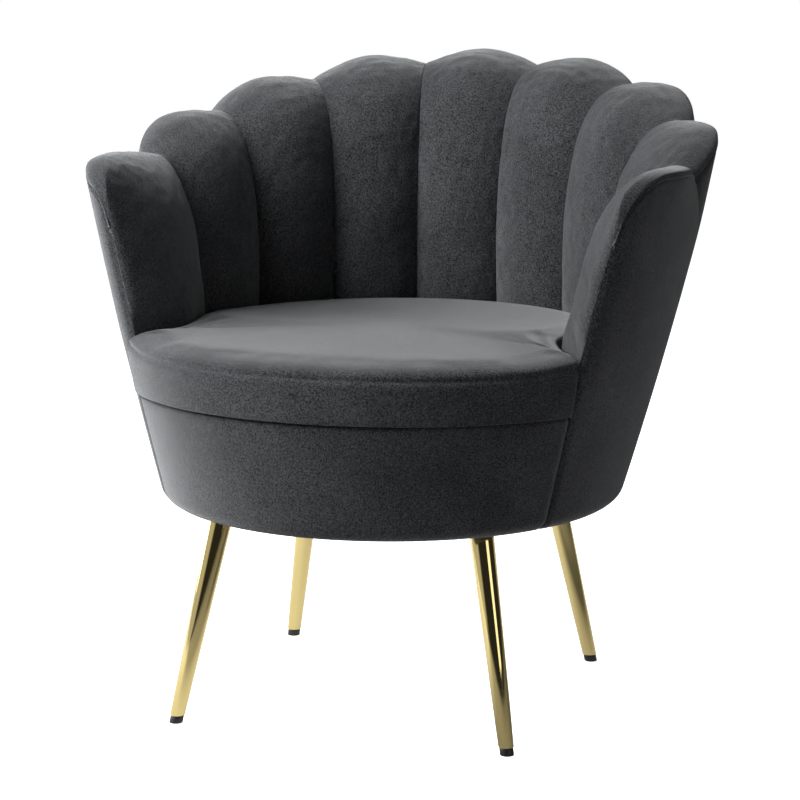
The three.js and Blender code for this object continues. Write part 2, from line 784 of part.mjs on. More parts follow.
const crownShares = [1, 0.9, 0.65, 0.35];
const crownTipShare = 0.1;
const crownHeight = (scale) => cushionCrown * (1 - scale ** crownPower);

function crownRings(seam, inset) {
  return crownShares.map((scale) => {
    return cushionRing(seam + crownHeight(scale), inset, scale, scale ** crownPower);
  });
}

// Adds a small ring near the crown's full height, so that the middle isn't flat.
function withCrownTip(rings, seam) {
  const top = middleOf(rings[rings.length - 1]).setZ(seam + cushionCrown);
  const tip = rings[rings.length - 1].map((point) => point.clone().lerp(top, 1 - crownTipShare));
  return [...rings, tip];
}

function cushionTopPanel() {
  const upper = withCrownTip(crownRings(cushionSeam, 0), cushionSeam);
  const lowSeam = cushionSeam - cushionCloth;
  const lower = withCrownTip(crownRings(lowSeam, 0), lowSeam);
  return skin([...lower.reverse(), ...upper], "poles");
}

function cushionBottomPanel() {
  const top = cushionBottom + cushionCloth;
  return skin([cushionRing(cushionBottom, 0, 1, 0), cushionRing(top, 0, 1, 0)], "poles");
}

const boxingBottom = cushionBottom + cushionCloth + gap;
const boxingTop = cushionSeam - cushionCloth - gap;
const boxingMiddle = (boxingBottom + boxingTop) / 2;

// The boxing bulges between its seams where it is free, over the front.
function boxingRing(z, inset, swell) {
  const riseShare = (z - boxingBottom) / (boxingTop - boxingBottom);
  return cushionAngles().map((angle) => {
    const free = Math.abs(angle) > armSeamSeatAngle ? 1 : 0;
    const radius = cushionRadius(angle, z) - inset + swell * free;
    return ringPoint(angle, radius, z).setZ(z + squeezedRise(angle) * riseShare);
  });
}

function cushionBoxing() {
  const side = (inset) => [
    boxingRing(boxingBottom, inset, 0),
    boxingRing(boxingMiddle, inset, boxingBulge),
    boxingRing(boxingTop, inset, 0),
  ];
  return skin([...side(0), ...side(cushionCloth).reverse()], "loop");
}

function cushionFoam() {
  const inset = cushionCloth + foamGap;
  const rings = [
    boxingRing(boxingBottom, inset, 0),
    boxingRing(boxingMiddle, inset, boxingBulge),
    ...crownRings(boxingTop - gap, inset),
  ];
  return skin(withCrownTip(rings, boxingTop - gap), "poles");
}

// Legs lean outward: each ring is level, and its middle follows the line from drum to floor.
const legTop = drumUnderside - gap;

function leaningLathe(profile, corner, segments) {
  const rings = profile.map(({ radius, z, upright }) => {
    const offset = mix(legFootOffset, legTopOffset, upright ? 1 : z / legTop);
    const ring = [];
    for (let step = 0; step < segments; step += 1) {
      const turn = (2 * Math.PI * step) / segments;
      const x = corner.x * offset + radius * Math.cos(turn);
      const y = corner.y * offset + radius * Math.sin(turn);
      ring.push(new THREE.Vector3(x, y, z));
    }
    return ring;
  });
  return skin(rings, "poles");
}

const legSegments = 20;

function leg(corner) {
  const boreRadius = glideStemRadius + gap;
  const studBore = studRadius + gap;
  const stemTop = glideHeight + glideStemHeight + gap;
  const studBottom = legTop - studInLeg - gap;
  const profile = [
    { radius: boreRadius, z: stemTop },
    { radius: boreRadius, z: glideHeight },
    { radius: legFootRadius, z: glideHeight },
    { radius: legTopRadius, z: legTop },
    { radius: studBore, z: legTop, upright: true },
    { radius: studBore, z: studBottom, upright: true },
  ];
  return leaningLathe(profile, corner, legSegments);
}

function glide(corner) {
  const shoulder = glideHeight - gap;
  const profile = [
    { radius: glideRadius, z: 0 },
    { radius: glideRadius, z: shoulder },
    { radius: glideStemRadius, z: shoulder },
    { radius: glideStemRadius, z: shoulder + glideStemHeight },
  ];
  return leaningLathe(profile, corner, legSegments);
}

// The upright stud that draws a leg up against the drum, and the flanged nut it turns into.
function legStud() {
  return new THREE.CylinderGeometry(studRadius, studRadius, studInLeg + studInBoard, 12).rotateX(Math.PI / 2);
}

function flangedNut() {
  const bore = studRadius + gap;
  const profile = [
    new THREE.Vector2(bore, -nutBarrelDepth),
    new THREE.Vector2(nutBarrelRadius, -nutBarrelDepth),
    new THREE.Vector2(nutBarrelRadius, 0),
    new THREE.Vector2(nutFlangeRadius, 0),
    new THREE.Vector2(nutFlangeRadius, nutFlangeThickness),
    new THREE.Vector2(bore, nutFlangeThickness),
    new THREE.Vector2(bore, -nutBarrelDepth),
  ];
  return new THREE.LatheGeometry(profile, 16).rotateX(Math.PI / 2);
}

const chair = new THREE.Group();

function place(parent, name, geometry, material, x = 0, y = 0, z = 0) {
  const piece = new THREE.Mesh(geometry, material);
  piece.name = name;
  piece.position.set(x, y, z);
  parent.add(piece);
  return piece;
}

// Drum base
const drum = new THREE.Group();
chair.add(drum);
place(drum, "base_board", baseBoard(), plywood(), 0, 0, baseBoardUnderside);
place(drum, "dust_cover", dustCover(), felt(), 0, 0, baseBoardUnderside - gap - dustCoverThickness);
place(drum, "seat_ring", seatRing(), plywood());
place(drum, "drum_front_board", frontBoard(), fibreboard());
place(drum, "drum_front_cover", frontCover(), velvet());

const postHeight = seatRingUnderside - baseBoardTop - 2 * gap;
const postRadius = outerRadius(linerBottom) - frameDepth - postInset - postDepth / 2;
postAngles.forEach((angle, index) => {
  const post = new THREE.Group();
  const frontFlat = outerRadius(linerBottom) - ringRadius(signedAngle(angle), linerBottom);
  post.position.set(0, ringCentre(linerBottom), baseBoardTop + gap + postHeight / 2);
  post.rotation.z = radians(-angle);
  drum.add(post);
  const block = new THREE.BoxGeometry(postWidth, postDepth, postHeight);
  place(post, `drum_post_${index + 1}`, block, plywood(), 0, postRadius - frontFlat, 0);
});

// Seat webbing: one layer of straps across the ring and one from front to back on top of it
for (let index = 0; index < strapsEachWay; index += 1) {
  const offset = (index - (strapsEachWay - 1) / 2) * strapSpacing;
  const edge = Math.abs(offset) + strapWidth / 2;
  const length = 2 * Math.sqrt(strapReach ** 2 - edge ** 2);
  const centre = ringCentre(seatRingUnderside);
  const across = new THREE.BoxGeometry(length, strapWidth, strapThickness);
  const along = new THREE.BoxGeometry(strapWidth, length, strapThickness);
  const lower = lowerStrapHeight + strapThickness / 2;
  const upper = upperStrapHeight + strapThickness / 2;
  place(drum, `cross_strap_${index + 1}`, across, webbing(), 0, centre + offset, lower);
  place(drum, `long_strap_${index + 1}`, along, webbing(), offset, centre, upper);
}
place(drum, "seat_deck", seatDeck(), felt());

// Back: two bent boards with ribs between them, nine pads and one outside cover
const back = new THREE.Group();
chair.add(back);
place(back, "inside_back_board", insideBoard(), fibreboard());
place(back, "outside_back_board", outsideBoard(), fibreboard());
place(back, "outside_cover", outsideCover(), velvet());
place(back, "arm_rib_left", backRib(0, -armRibShare, armRibGap), plywood());
place(back, "arm_rib_right", backRib(lastPetal, armRibShare, armRibGap), plywood());
for (let groove = 1; groove < petalCount; groove += 1) {
  const rib = groove < petalCount / 2 ? backRib(groove - 1, 1, ribGap) : backRib(groove, -1, ribGap);
  place(back, `back_rib_${groove}`, rib, plywood());
}
for (let petal = 0; petal < petalCount; petal += 1) {
  place(back, `petal_pad_${petal + 1}`, petalPad(petal), velvet());
}

// Loose seat cushion
const cushion = new THREE.Group();
chair.add(cushion);
place(cushion, "cushion_foam", cushionFoam(), foam());
place(cushion, "cushion_top_panel", cushionTopPanel(), velvet());
place(cushion, "cushion_boxing", cushionBoxing(), velvet());
place(cushion, "cushion_bottom_panel", cushionBottomPanel(), velvet());

// Legs with their studs, nuts and floor glides
const legs = new THREE.Group();
chair.add(legs);
for (const corner of legCorners) {
  const x = corner.x * legTopOffset;
  const y = corner.y * legTopOffset;
  const studMiddle = legTop + (studInBoard - studInLeg) / 2;
  place(legs, `leg_${corner.name}`, leg(corner), brass());
  place(legs, `leg_glide_${corner.name}`, glide(corner), plastic());
  place(legs, `leg_stud_${corner.name}`, legStud(), zincSteel(), x, y, studMiddle);
  place(legs, `leg_nut_${corner.name}`, flangedNut(), zincSteel(), x, y, baseBoardTop + gap);
}

// The chair stands over the middle of its own bounding box.
const bounds = new THREE.Box3().setFromObject(chair);
const middle = bounds.getCenter(new THREE.Vector3());
chair.position.set(-middle.x, -middle.y, 0);

export default chair;
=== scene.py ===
import json
import math

import bpy
import numpy as np
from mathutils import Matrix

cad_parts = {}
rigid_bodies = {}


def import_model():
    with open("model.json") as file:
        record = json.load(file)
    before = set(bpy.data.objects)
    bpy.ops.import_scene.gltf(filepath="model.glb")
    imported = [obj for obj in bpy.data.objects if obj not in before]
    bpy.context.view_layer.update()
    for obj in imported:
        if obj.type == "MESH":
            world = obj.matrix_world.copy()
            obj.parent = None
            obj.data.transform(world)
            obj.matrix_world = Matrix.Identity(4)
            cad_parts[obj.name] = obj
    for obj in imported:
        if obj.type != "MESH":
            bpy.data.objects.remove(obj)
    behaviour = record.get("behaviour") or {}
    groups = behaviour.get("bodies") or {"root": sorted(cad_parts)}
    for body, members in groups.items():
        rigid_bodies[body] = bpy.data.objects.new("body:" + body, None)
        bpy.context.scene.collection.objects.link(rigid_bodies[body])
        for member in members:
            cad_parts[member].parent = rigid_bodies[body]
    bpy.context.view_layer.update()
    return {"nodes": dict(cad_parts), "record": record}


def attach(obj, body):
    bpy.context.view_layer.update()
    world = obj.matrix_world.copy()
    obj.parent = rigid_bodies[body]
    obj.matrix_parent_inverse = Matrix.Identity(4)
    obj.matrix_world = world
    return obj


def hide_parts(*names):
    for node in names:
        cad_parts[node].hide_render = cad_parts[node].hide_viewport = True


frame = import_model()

scene = bpy.context.scene
scene.view_settings.view_transform = "Standard"
nodes = frame["nodes"]

# Camera
# The chair is photographed from a little to the right of its front and from above the seat, with a long
# lens. Left and right are the picture's everywhere below.
CAMERA_AT = (0.94825, -2.99710, 0.92615)
CAMERA_TURN = 17.72
CAMERA_DIP = 10.26
CAMERA_LENS = 115.27

camera_data = bpy.data.cameras.new("camera")
camera_data.lens = CAMERA_LENS
camera_data.sensor_width = 36
camera = bpy.data.objects.new("camera", camera_data)
camera.location = CAMERA_AT
camera.rotation_euler = (math.radians(90 - CAMERA_DIP), 0, math.radians(CAMERA_TURN))
scene.collection.objects.link(camera)
scene.camera = camera


# Petals of the back
# Nine foam pads, each with velvet stretched over it and pulled down into the grooves between them.
# They are glued to a bent board, roll over its rim and are sewn to the outside cover just behind it.
# The first and last petals are the arms, and wrap round the arms' fronts to an upright seam.

# Sizes are in metres, and angles in degrees from the middle of the back. The outer surface has its radius
# and its centre given at three heights, and its front is flattened a little.
SHIFT_Y = -0.062767
STATION_Z = (0.280, 0.440, 0.778)
STATION_RADIUS = (0.287, 0.3305, 0.409)
STATION_CENTRE = (0.003, 0.0145, 0.022)
FRONT_FLAT = (0.002, 0.0155)
FRONT_FLAT_ANGLE = 115

# The petals and their rim, which is highest at the back. A share of a petal's width runs from -1 to 1.
# Outward from its groove an arm's rim climbs to its crest, then turns a corner down to its shoulder.
PETALS = 9
LAST = PETALS - 1
PETAL_STEP = 23.7
GROOVE_ANGLE = (PETALS / 2 - 1) * PETAL_STEP
ARM_SEAM_LOW, ARM_SEAM_HIGH = 122.8, 118.6
BACK_TOP, SIDE_TOP, ARM_TOP, ARM_SHOULDER = 0.778, 0.699, 0.667, 0.600
BACK_SCALLOP, ARM_SCALLOP, SCALLOP_POWER = 0.018, 0.020, 1.6
ARM_CREST, ARM_CORNER, ARM_CORNER_POWER = 0.1, 0.4, 2.35

# The lobes of the outer surface, which sinks in between the petals, and how the arms' fronts are drawn in.
BACK_LOBE, ARM_LOBE, LOBE_FADE = 0.009, 0.026, 0.095
ARM_LOBE_START, ARM_LOBE_POWER = 0.3, 1.7
ARM_TUCK, ARM_TUCK_POWER = 0.009, 1.5
ARM_SET_INS = (0.011, 0.005)
SET_IN_LEVEL, SET_IN_RISE = 0.412, 0.035
SET_IN_REACH, SET_IN_POWER = 0.036, 2.2

# The thickness of the padded wall in its grooves, which grows from the seat up, and of the petals on it.
WALL_LEVEL, WALL_DEPTH = 0.450, 0.064
BACK_GROWTH, ARM_GROWTH, GROWTH_POWER = 0.044, 0.016, 1.6
BACK_GROWTH_HEIGHT, ARM_GROWTH_HEIGHT = 0.186, 0.118
PETAL_BULGE, FULLNESS_POWER, ARM_FULL_FROM = 0.023, 0.8, 0.3

# The roll over the rim and the seam behind it. On the arms both ease into the arms' own places.
ROLL, ROLL_POWER, ROLL_APEX = 0.095, 2.3, 0.016
SEAM_DROP = 0.014
ARM_SEAM_DROPS, ARM_APEXES = (0.025, 0.008), (0.027, 0.015)
ARM_SEAM_EASE_IN, ARM_SEAM_EASE_OUT = 0.7, 0.25

# The round nose of an arm, which thins toward its front seam and stands a little forward of it.
NOSE_REACH, NOSE_POWERS, NOSE_RISE, NOSE_EDGE = 0.110, (3.4, 2.0), 0.17, 0.003
NOSE_PUSH, NOSE_PUSH_REACH, NOSE_PUSH_POWER = 0.016, 0.060, 1.5
NOSE_START, NOSE_THICKNESS, NOSE_ROUNDNESS = 0.0025, 0.070, 0.8
NOSE_LEVEL, NOSE_LEVEL_RISE = 0.462, 0.04

# The pads' feet, the foam behind the velvet, and the board that the pads are glued to. Where a pad is thin,
# its back lies at nine tenths of its face's depth.
PAD_FOOT = 0.391
GROOVE_FOAM, NOSE_FOAM, TOP_FOAM = 0.012, 0.014, 0.022
BOARD_BACK = 0.0131
DEEPEST_BACK = 0.9

# Velvet is pinched in along its seams, and lies slack by the swell until the foam fills it.
PINCH, PINCH_REACH = 0.0034, 0.0028
SWELL = 0.005
SLACK_LEVEL, SLACK_RISE = 0.465, 0.06

# How finely a pad is drawn: the rows at its seam, over its roll and down its face, and its columns.
SEAM_ROWS = np.array([0, 0.06, 0.14, 0.26, 0.45, 0.7])
ROLL_TURNS = np.linspace(90, 0, 19)[:-1, None]
FACE_ROWS = 34
BACK_COLUMNS, ARM_COLUMNS, ARM_BUNCHING = 23, 33, 1.5


def mix(a, b, share):
    return a + (b - a) * share


def cos_deg(angle):
    return np.cos(np.radians(angle))


def sin_deg(angle):
    return np.sin(np.radians(angle))


def ease(share):
    share = np.clip(share, 0, 1)
    return share * share * (3 - 2 * share)


def through_stations(z, values):
    """A smooth curve over height that has the given value at each station."""
    low, middle, high = STATION_Z
    a, b, c = values
    return (
        a * (z - middle) * (z - high) / ((low - middle) * (low - high))
        + b * (z - low) * (z - high) / ((middle - low) * (middle - high))
        + c * (z - low) * (z - middle) / ((high - low) * (high - middle))
    )


def ring_centre(z):
    return through_stations(z, STATION_CENTRE) + SHIFT_Y


def outer_radius(z):
    return through_stations(z, STATION_RADIUS)


def ring_radius(angle, z):
    rise = (z - STATION_Z[0]) / (STATION_Z[1] - STATION_Z[0])
    turn = np.clip((np.abs(angle) - FRONT_FLAT_ANGLE) / (180 - FRONT_FLAT_ANGLE), 0, 1)
    return outer_radius(z) - mix(*FRONT_FLAT, rise) * sin_deg(90 * turn) ** 2


def ring_point(angle, radius, z):
    angle, radius, z = np.broadcast_arrays(angle, radius, z)
    return np.stack([radius * sin_deg(angle), ring_centre(z) + radius * cos_deg(angle), z], -1)


def is_arm(petal):
    return petal in (0, LAST)


def arm_side(petal):
    return -1 if petal == 0 else 1


def arm_seam_angle(z):
    rise = np.maximum(0, (z - STATION_Z[1]) / (ARM_SHOULDER - STATION_Z[1]))
    return mix(ARM_SEAM_LOW, ARM_SEAM_HIGH, rise)


def petal_angle(petal, share, z):
    if is_arm(petal):
        side = arm_side(petal)
        return side * mix(GROOVE_ANGLE, arm_seam_angle(z), (1 + side * share) / 2)
    return (petal - LAST / 2 + share / 2) * PETAL_STEP + 0 * z


def toward_arm(angle):
    """0 in the middle of the back, growing to 1 in the grooves beside the arms."""
    turned = np.minimum(np.abs(angle), GROOVE_ANGLE)
    return (1 - cos_deg(turned)) / (1 - cos_deg(GROOVE_ANGLE))


def rim_plane(angle):
    return BACK_TOP - (BACK_TOP - SIDE_TOP) * toward_arm(angle) / toward_arm((LAST / 2 - 1) * PETAL_STEP)


def scallop_depth(angle):
    return mix(BACK_SCALLOP, ARM_SCALLOP, toward_arm(angle))


def rim_height(petal, share):
    if not is_arm(petal):
        angle = petal_angle(petal, share, BACK_TOP)
        return rim_plane(angle) - scallop_depth(angle) * np.abs(share) ** SCALLOP_POWER
    outward = arm_side(petal) * share
    valley = rim_plane(GROOVE_ANGLE) - scallop_depth(GROOVE_ANGLE)
    fall = np.clip((ARM_CREST - outward) / (1 + ARM_CREST), 0, 1)
    inner = ARM_TOP - (ARM_TOP - valley) * fall**SCALLOP_POWER
    turn = np.clip((outward - ARM_CORNER) / (1 - ARM_CORNER), 0, 1)
    corner = mix(ARM_SHOULDER, ARM_TOP, (1 - turn**ARM_CORNER_POWER) ** (1 / ARM_CORNER_POWER))
    return np.where(outward < ARM_CREST, inner, corner)


def seam_place(petal, share):
    """How far a petal's outer seam lies under its rim, and how far in its rim's top line lies."""
    if not is_arm(petal):
        return SEAM_DROP + 0 * share, ROLL_APEX + 0 * share
    outward = arm_side(petal) * share
    left_behind = ease((outward - (1 - ARM_SEAM_EASE_OUT)) / ARM_SEAM_EASE_OUT)
    weight = ease((outward + ARM_SEAM_EASE_IN) / ARM_SEAM_EASE_IN) * (1 - left_behind)
    side = 0 if petal == 0 else 1
    return mix(SEAM_DROP, ARM_SEAM_DROPS[side], weight), mix(ROLL_APEX, ARM_APEXES[side], weight)


def fullness(petal, share):
    """1 on a petal's crest and 0 in its grooves. An arm stays full on to its front."""
    if not is_arm(petal):
        return np.maximum(0, 1 - share**2) ** FULLNESS_POWER
    from_crest = np.maximum(0, (-ARM_FULL_FROM - arm_side(petal) * share) / (1 - ARM_FULL_FROM))
    return np.maximum(0, 1 - from_crest**2) ** FULLNESS_POWER


def lobe_fade(petal, share, z):
    below = (rim_height(petal, share) - z) / LOBE_FADE
    return np.minimum(1, np.maximum(0, 1 - below) ** 2)


def lobe_depth(petal, share, z):
    depth = mix(BACK_LOBE, ARM_LOBE, toward_arm(petal_angle(petal, share, z)))
    if not is_arm(petal):
        return depth * (1 - fullness(petal, share))
    from_crest = np.maximum(0, (ARM_LOBE_START - arm_side(petal) * share) / (1 + ARM_LOBE_START))
    return depth * sin_deg(90 * from_crest) ** ARM_LOBE_POWER


def seam_arc(angle, z):
    """Distance along the arc from an arm's front seam."""
    return np.radians(arm_seam_angle(z) - np.abs(angle)) * outer_radius(z)


def arm_set_in(petal, z):
    """How far an arm's front seam is set in: the outside cover rolls round onto the arm's front."""
    return ARM_SET_INS[0 if petal == 0 else 1] * ease((z - SET_IN_LEVEL) / SET_IN_RISE)


def set_in(petal, share, z):
    if not is_arm(petal):
        return 0
    arc = np.maximum(0, seam_arc(petal_angle(petal, share, z), z))
    return arm_set_in(petal, z) * np.maximum(0, 1 - arc / SET_IN_REACH) ** SET_IN_POWER


def shell_radius(petal, share, z):
    """Radius of the outer surface behind a petal."""
    rise = np.clip((z - WALL_LEVEL) / (ARM_TOP - WALL_LEVEL), 0, 1)
    frontward = np.maximum(0, arm_side(petal) * share) if is_arm(petal) else 0
    tuck = ARM_TUCK * rise * frontward**ARM_TUCK_POWER
    drawn = lobe_depth(petal, share, z) * lobe_fade(petal, share, z) + tuck
    return ring_radius(petal_angle(petal, share, z), z) - drawn - set_in(petal, share, z)


def wall_thinning(petal, share, z):
    grooves = BACK_LOBE * (1 - fullness(petal, share))
    return (lobe_depth(petal, share, z) - grooves) * lobe_fade(petal, share, z)


def groove_depth(angle, z):
    share = toward_arm(angle)
    rise = np.clip((z - WALL_LEVEL) / mix(BACK_GROWTH_HEIGHT, ARM_GROWTH_HEIGHT, share), 0, 1)
    return WALL_DEPTH + mix(BACK_GROWTH, ARM_GROWTH, share) * (1 - (1 - rise) ** GROWTH_POWER)


def nose_share(petal, angle, z, inset=0):
    """How much of its full thickness an arm has reached, going back from its front seam."""
    if not is_arm(petal):
        return 1
    arc = seam_arc(angle, z) - inset
    power = mix(*NOSE_POWERS, np.clip((z - WALL_LEVEL) / NOSE_RISE, 0, 1))
    return 1 - (1 - np.clip(arc / NOSE_REACH, 0, 1)) ** power


def face_depth(petal, share, z, slack=0):
    """Depth of a petal's face from the outer surface; slack is how far the unfilled velvet lies back."""
    level = np.maximum(z, WALL_LEVEL)
    angle = petal_angle(petal, share, level)
    bulge = PETAL_BULGE - slack * ease((z - SLACK_LEVEL) / SLACK_RISE)
    full = groove_depth(angle, level) + bulge * fullness(petal, share) + outer_radius(z) - outer_radius(level)
    edge = NOSE_EDGE + (arm_set_in(petal, z) if is_arm(petal) else 0)
    depth = mix(edge, full, nose_share(petal, angle, level))
    return depth - wall_thinning(petal, share, z) - set_in(petal, share, z)


def foam_back_depth(petal, share, z):
    level = np.maximum(z, WALL_LEVEL)
    angle = petal_angle(petal, share, level)
    full = groove_depth(angle, level) - GROOVE_FOAM + outer_radius(z) - outer_radius(level)
    full = full * nose_share(petal, angle, level, NOSE_FOAM) - wall_thinning(petal, share, z)
    return np.maximum(full, BOARD_BACK)


def seam_pinch(distance):
    return PINCH * np.exp(-((distance / PINCH_REACH) ** 2))


def wall_points(petal, share, depth, z):
    return ring_point(petal_angle(petal, share, z), shell_radius(petal, share, z) - depth, z)


def face_points(petal, share, depth, z):
    """Points of a petal's face; near an arm's front seam they stand forward in a round nose."""
    angle = petal_angle(petal, share, z)
    if is_arm(petal):
        through = sin_deg(180 * np.clip((depth - NOSE_START) / NOSE_THICKNESS, 0, 1)) ** NOSE_ROUNDNESS
        near = np.maximum(0, 1 - np.maximum(0, seam_arc(angle, z)) / NOSE_PUSH_REACH) ** NOSE_PUSH_POWER
        push = NOSE_PUSH * through * near * ease((z - NOSE_LEVEL) / NOSE_LEVEL_RISE)
        angle = angle + arm_side(petal) * np.degrees(push / outer_radius(z))
    return ring_point(angle, shell_radius(petal, share, z) - depth, z)


def petal_face(petal, share, slack):
    """Rows of points from a petal's outer seam over its roll and down its face to its foot."""
    rim = rim_height(petal, share)
    drop, roll_apex = seam_place(petal, share)
    start = rim - ROLL
    turn = np.degrees(np.arccos(SEAM_ROWS))[:, None]
    z_roll = start + ROLL * sin_deg(ROLL_TURNS) ** (2 / ROLL_POWER)
    z_face = np.linspace(start, PAD_FOOT + 0 * start, FACE_ROWS)
    near_face = face_depth(petal, share, start, slack)
    apex = roll_apex * (1 - np.exp(-near_face / roll_apex))
    reach = cos_deg(ROLL_TURNS) ** (2 / ROLL_POWER)
    z = np.concatenate([rim - drop * (1 - cos_deg(turn)), z_roll, z_face])
    depth = np.concatenate([
        apex * (1 - sin_deg(turn)) + seam_pinch(drop * cos_deg(turn)),
        mix(apex, face_depth(petal, share, z_roll, slack), reach),
        face_depth(petal, share, z_face, slack),
    ])
    return face_points(petal, share, depth, z), depth


def petal_back(petal, share, face):
    """The pad's back, which lies on the bent board, with a point behind each one of its face."""
    rim = rim_height(petal, share)
    start = rim - ROLL
    z_roll = start + (ROLL - TOP_FOAM) * sin_deg(ROLL_TURNS) ** (2 / ROLL_POWER)
    z_face = np.linspace(start, PAD_FOOT + 0 * start, FACE_ROWS)
    reach = cos_deg(ROLL_TURNS) ** (2 / ROLL_POWER)
    lip = np.linspace(rim - seam_place(petal, share)[0], z_roll[0], len(SEAM_ROWS) + 1)[:-1]
    z = np.concatenate([lip, z_roll, z_face])
    depth = np.concatenate([
        mix(0, BOARD_BACK, np.linspace(0, 1, len(SEAM_ROWS) + 1)[:-1, None]) + 0 * rim,
        mix(BOARD_BACK, foam_back_depth(petal, share, z_roll), reach),
        foam_back_depth(petal, share, z_face),
    ])
    return wall_points(petal, share, np.minimum(depth, DEEPEST_BACK * face), z)


def petal_columns(petal):
    """Shares across a petal, closer together in its grooves and at an arm's front seam."""
    if not is_arm(petal):
        return sin_deg(np.linspace(-90, 90, BACK_COLUMNS))
    even = np.linspace(-1, 1, ARM_COLUMNS)
    frontward = 1 - (1 - np.maximum(even, 0)) ** ARM_BUNCHING
    bunched = np.where(even > 0, frontward, -sin_deg(-90 * np.minimum(even, 0)))
    return bunched if petal == LAST else -bunched[::-1]


def numbered(grid):
    """The numbers of a grid's points, in its rows and columns."""
    rows, columns = grid.shape[:2]
    return np.arange(rows * columns).reshape(rows, columns)


def quads(index):
    """Faces over a grid of point numbers."""
    above, below = index[:-1], index[1:]
    return np.stack([above[:, :-1], above[:, 1:], below[:, 1:], below[:, :-1]], -1).reshape(-1, 4)


def new_piece(name, points, faces, outward):
    """A mesh from points and faces, turned round if its faces look against the outward sense."""
    mesh = bpy.data.meshes.new(name)
    faces = faces if outward else faces[:, ::-1]
    mesh.from_pydata(points.reshape(-1, 3).tolist(), [], faces.tolist())
    piece = bpy.data.objects.new(name, mesh)
    scene.collection.objects.link(piece)
    return piece


def closed_pad(name, face, back):
    """A closed pad between a grid of points on its face and one on its back."""
    front = numbered(face)
    rear = front + front.size
    ends = [np.stack([front[0], rear[0]])[::-1], np.stack([front[-1], rear[-1]])]
    ends += [np.stack([front[:, 0], rear[:, 0]]), np.stack([front[:, -1], rear[:, -1]])[::-1]]
    faces = np.concatenate([quads(front), quads(rear)[:, ::-1]] + [quads(end) for end in ends])
    return new_piece(name, np.concatenate([face, back]), faces, False)


def crease_edges(piece, chosen, sharpness):
    """Keeps the edges between chosen points tight when the piece is subdivided."""
    mesh = piece.data
    ends = np.empty(len(mesh.edges) * 2, int)
    mesh.edges.foreach_get("vertices", ends)
    tight = chosen[ends.reshape(-1, 2)].all(1)
    mesh.attributes.new("crease_edge", "FLOAT", "EDGE").data.foreach_set("value", tight * sharpness)


def deselect():
    for other in bpy.context.view_layer.objects:
        other.select_set(False)


def choose(piece):
    deselect()
    piece.select_set(True)
    bpy.context.view_layer.objects.active = piece


def apply_modifiers(piece):
    choose(piece)
    for modifier in list(piece.modifiers):
        bpy.ops.object.modifier_apply(modifier=modifier.name)


def subdivide(piece):
    smooth = piece.modifiers.new("smooth", "SUBSURF")
    smooth.levels = 1
    smooth.render_levels = 1
    smooth.use_limit_surface = False
    apply_modifiers(piece)
    piece.data.shade_smooth()


def corners_of(piece):
    places = np.empty(len(piece.data.vertices) * 3)
    piece.data.vertices.foreach_get("co", places)
    return places.reshape(-1, 3)


# Foam pushes the velvet outward everywhere but along its seams, for as many frames as it takes to fill.
FOAM_PRESSURE = 4
FILL_FRAMES = 20
STIFFNESS_TO_DAMPING = 3


def fill_with_foam(pads, stretch_stiffness, point_mass):
    """Swells pads as filled velvet does. Each is given with its sewn points and every point's limit."""
    starts = []
    for piece, sewn, _ in pads:
        starts.append(corners_of(piece))
        group = piece.vertex_groups.new(name="sewn")
        group.add(np.flatnonzero(sewn).tolist(), 1, "REPLACE")
        cloth = piece.modifiers.new("velvet", "CLOTH")
        cloth.settings.use_pressure = True
        cloth.settings.uniform_pressure_force = FOAM_PRESSURE
        for kind in ("tension", "compression", "shear"):
            setattr(cloth.settings, f"{kind}_stiffness", stretch_stiffness)
            setattr(cloth.settings, f"{kind}_damping", stretch_stiffness / STIFFNESS_TO_DAMPING)
        cloth.settings.effector_weights.gravity = 0
        cloth.settings.mass = point_mass
        cloth.settings.vertex_group_mass = "sewn"
        cloth.point_cache.frame_start = 1
        cloth.point_cache.frame_end = FILL_FRAMES
    for step in range(1, FILL_FRAMES + 1):
        scene.frame_set(step)
    for (piece, _, limit), start in zip(pads, starts):
        apply_modifiers(piece)
        move = corners_of(piece) - start
        length = np.linalg.norm(move, axis=1)
        move *= np.minimum(1, limit / np.maximum(length, 1e-9))[:, None]
        piece.data.vertices.foreach_set("co", (start + move).ravel())
        piece.vertex_groups.clear()
    scene.frame_set(1)


def srgb(code):
    """Linear colour from an sRGB hex code."""
    channels = [int(code[i : i + 2], 16) / 255 for i in (1, 3, 5)]
    return [c / 12.92 if c <= 0.04045 else ((c + 0.055) / 1.055) ** 2.4 for c in channels] + [1]


def add_node(tree, kind, settings=None, inputs=None, links=None):
    """Adds a shader node with its settings, its input values and its incoming links."""
    node = tree.nodes.new(kind)
    for key, value in (settings or {}).items():
        setattr(node, key, value)
    for key, value in (inputs or {}).items():
        node.inputs[key].default_value = value
    for key, source in (links or {}).items():
        tree.links.new(source, node.inputs[key])
    return node


def noise(tree, scale, detail, roughness=0.5, stretch=None):
    """A noise in the piece's own space, drawn out along the axes where stretch is below 1."""
    place = add_node(tree, "ShaderNodeTexCoord").outputs["Object"]
    if stretch:
        drawn = add_node(tree, "ShaderNodeMapping", inputs={"Scale": stretch}, links={"Vector": place})
        place = drawn.outputs["Vector"]
    inputs = {"Scale": scale, "Detail": detail, "Roughness": roughness}
    return add_node(tree, "ShaderNodeTexNoise", inputs=inputs, links={"Vector": place}).outputs["Fac"]


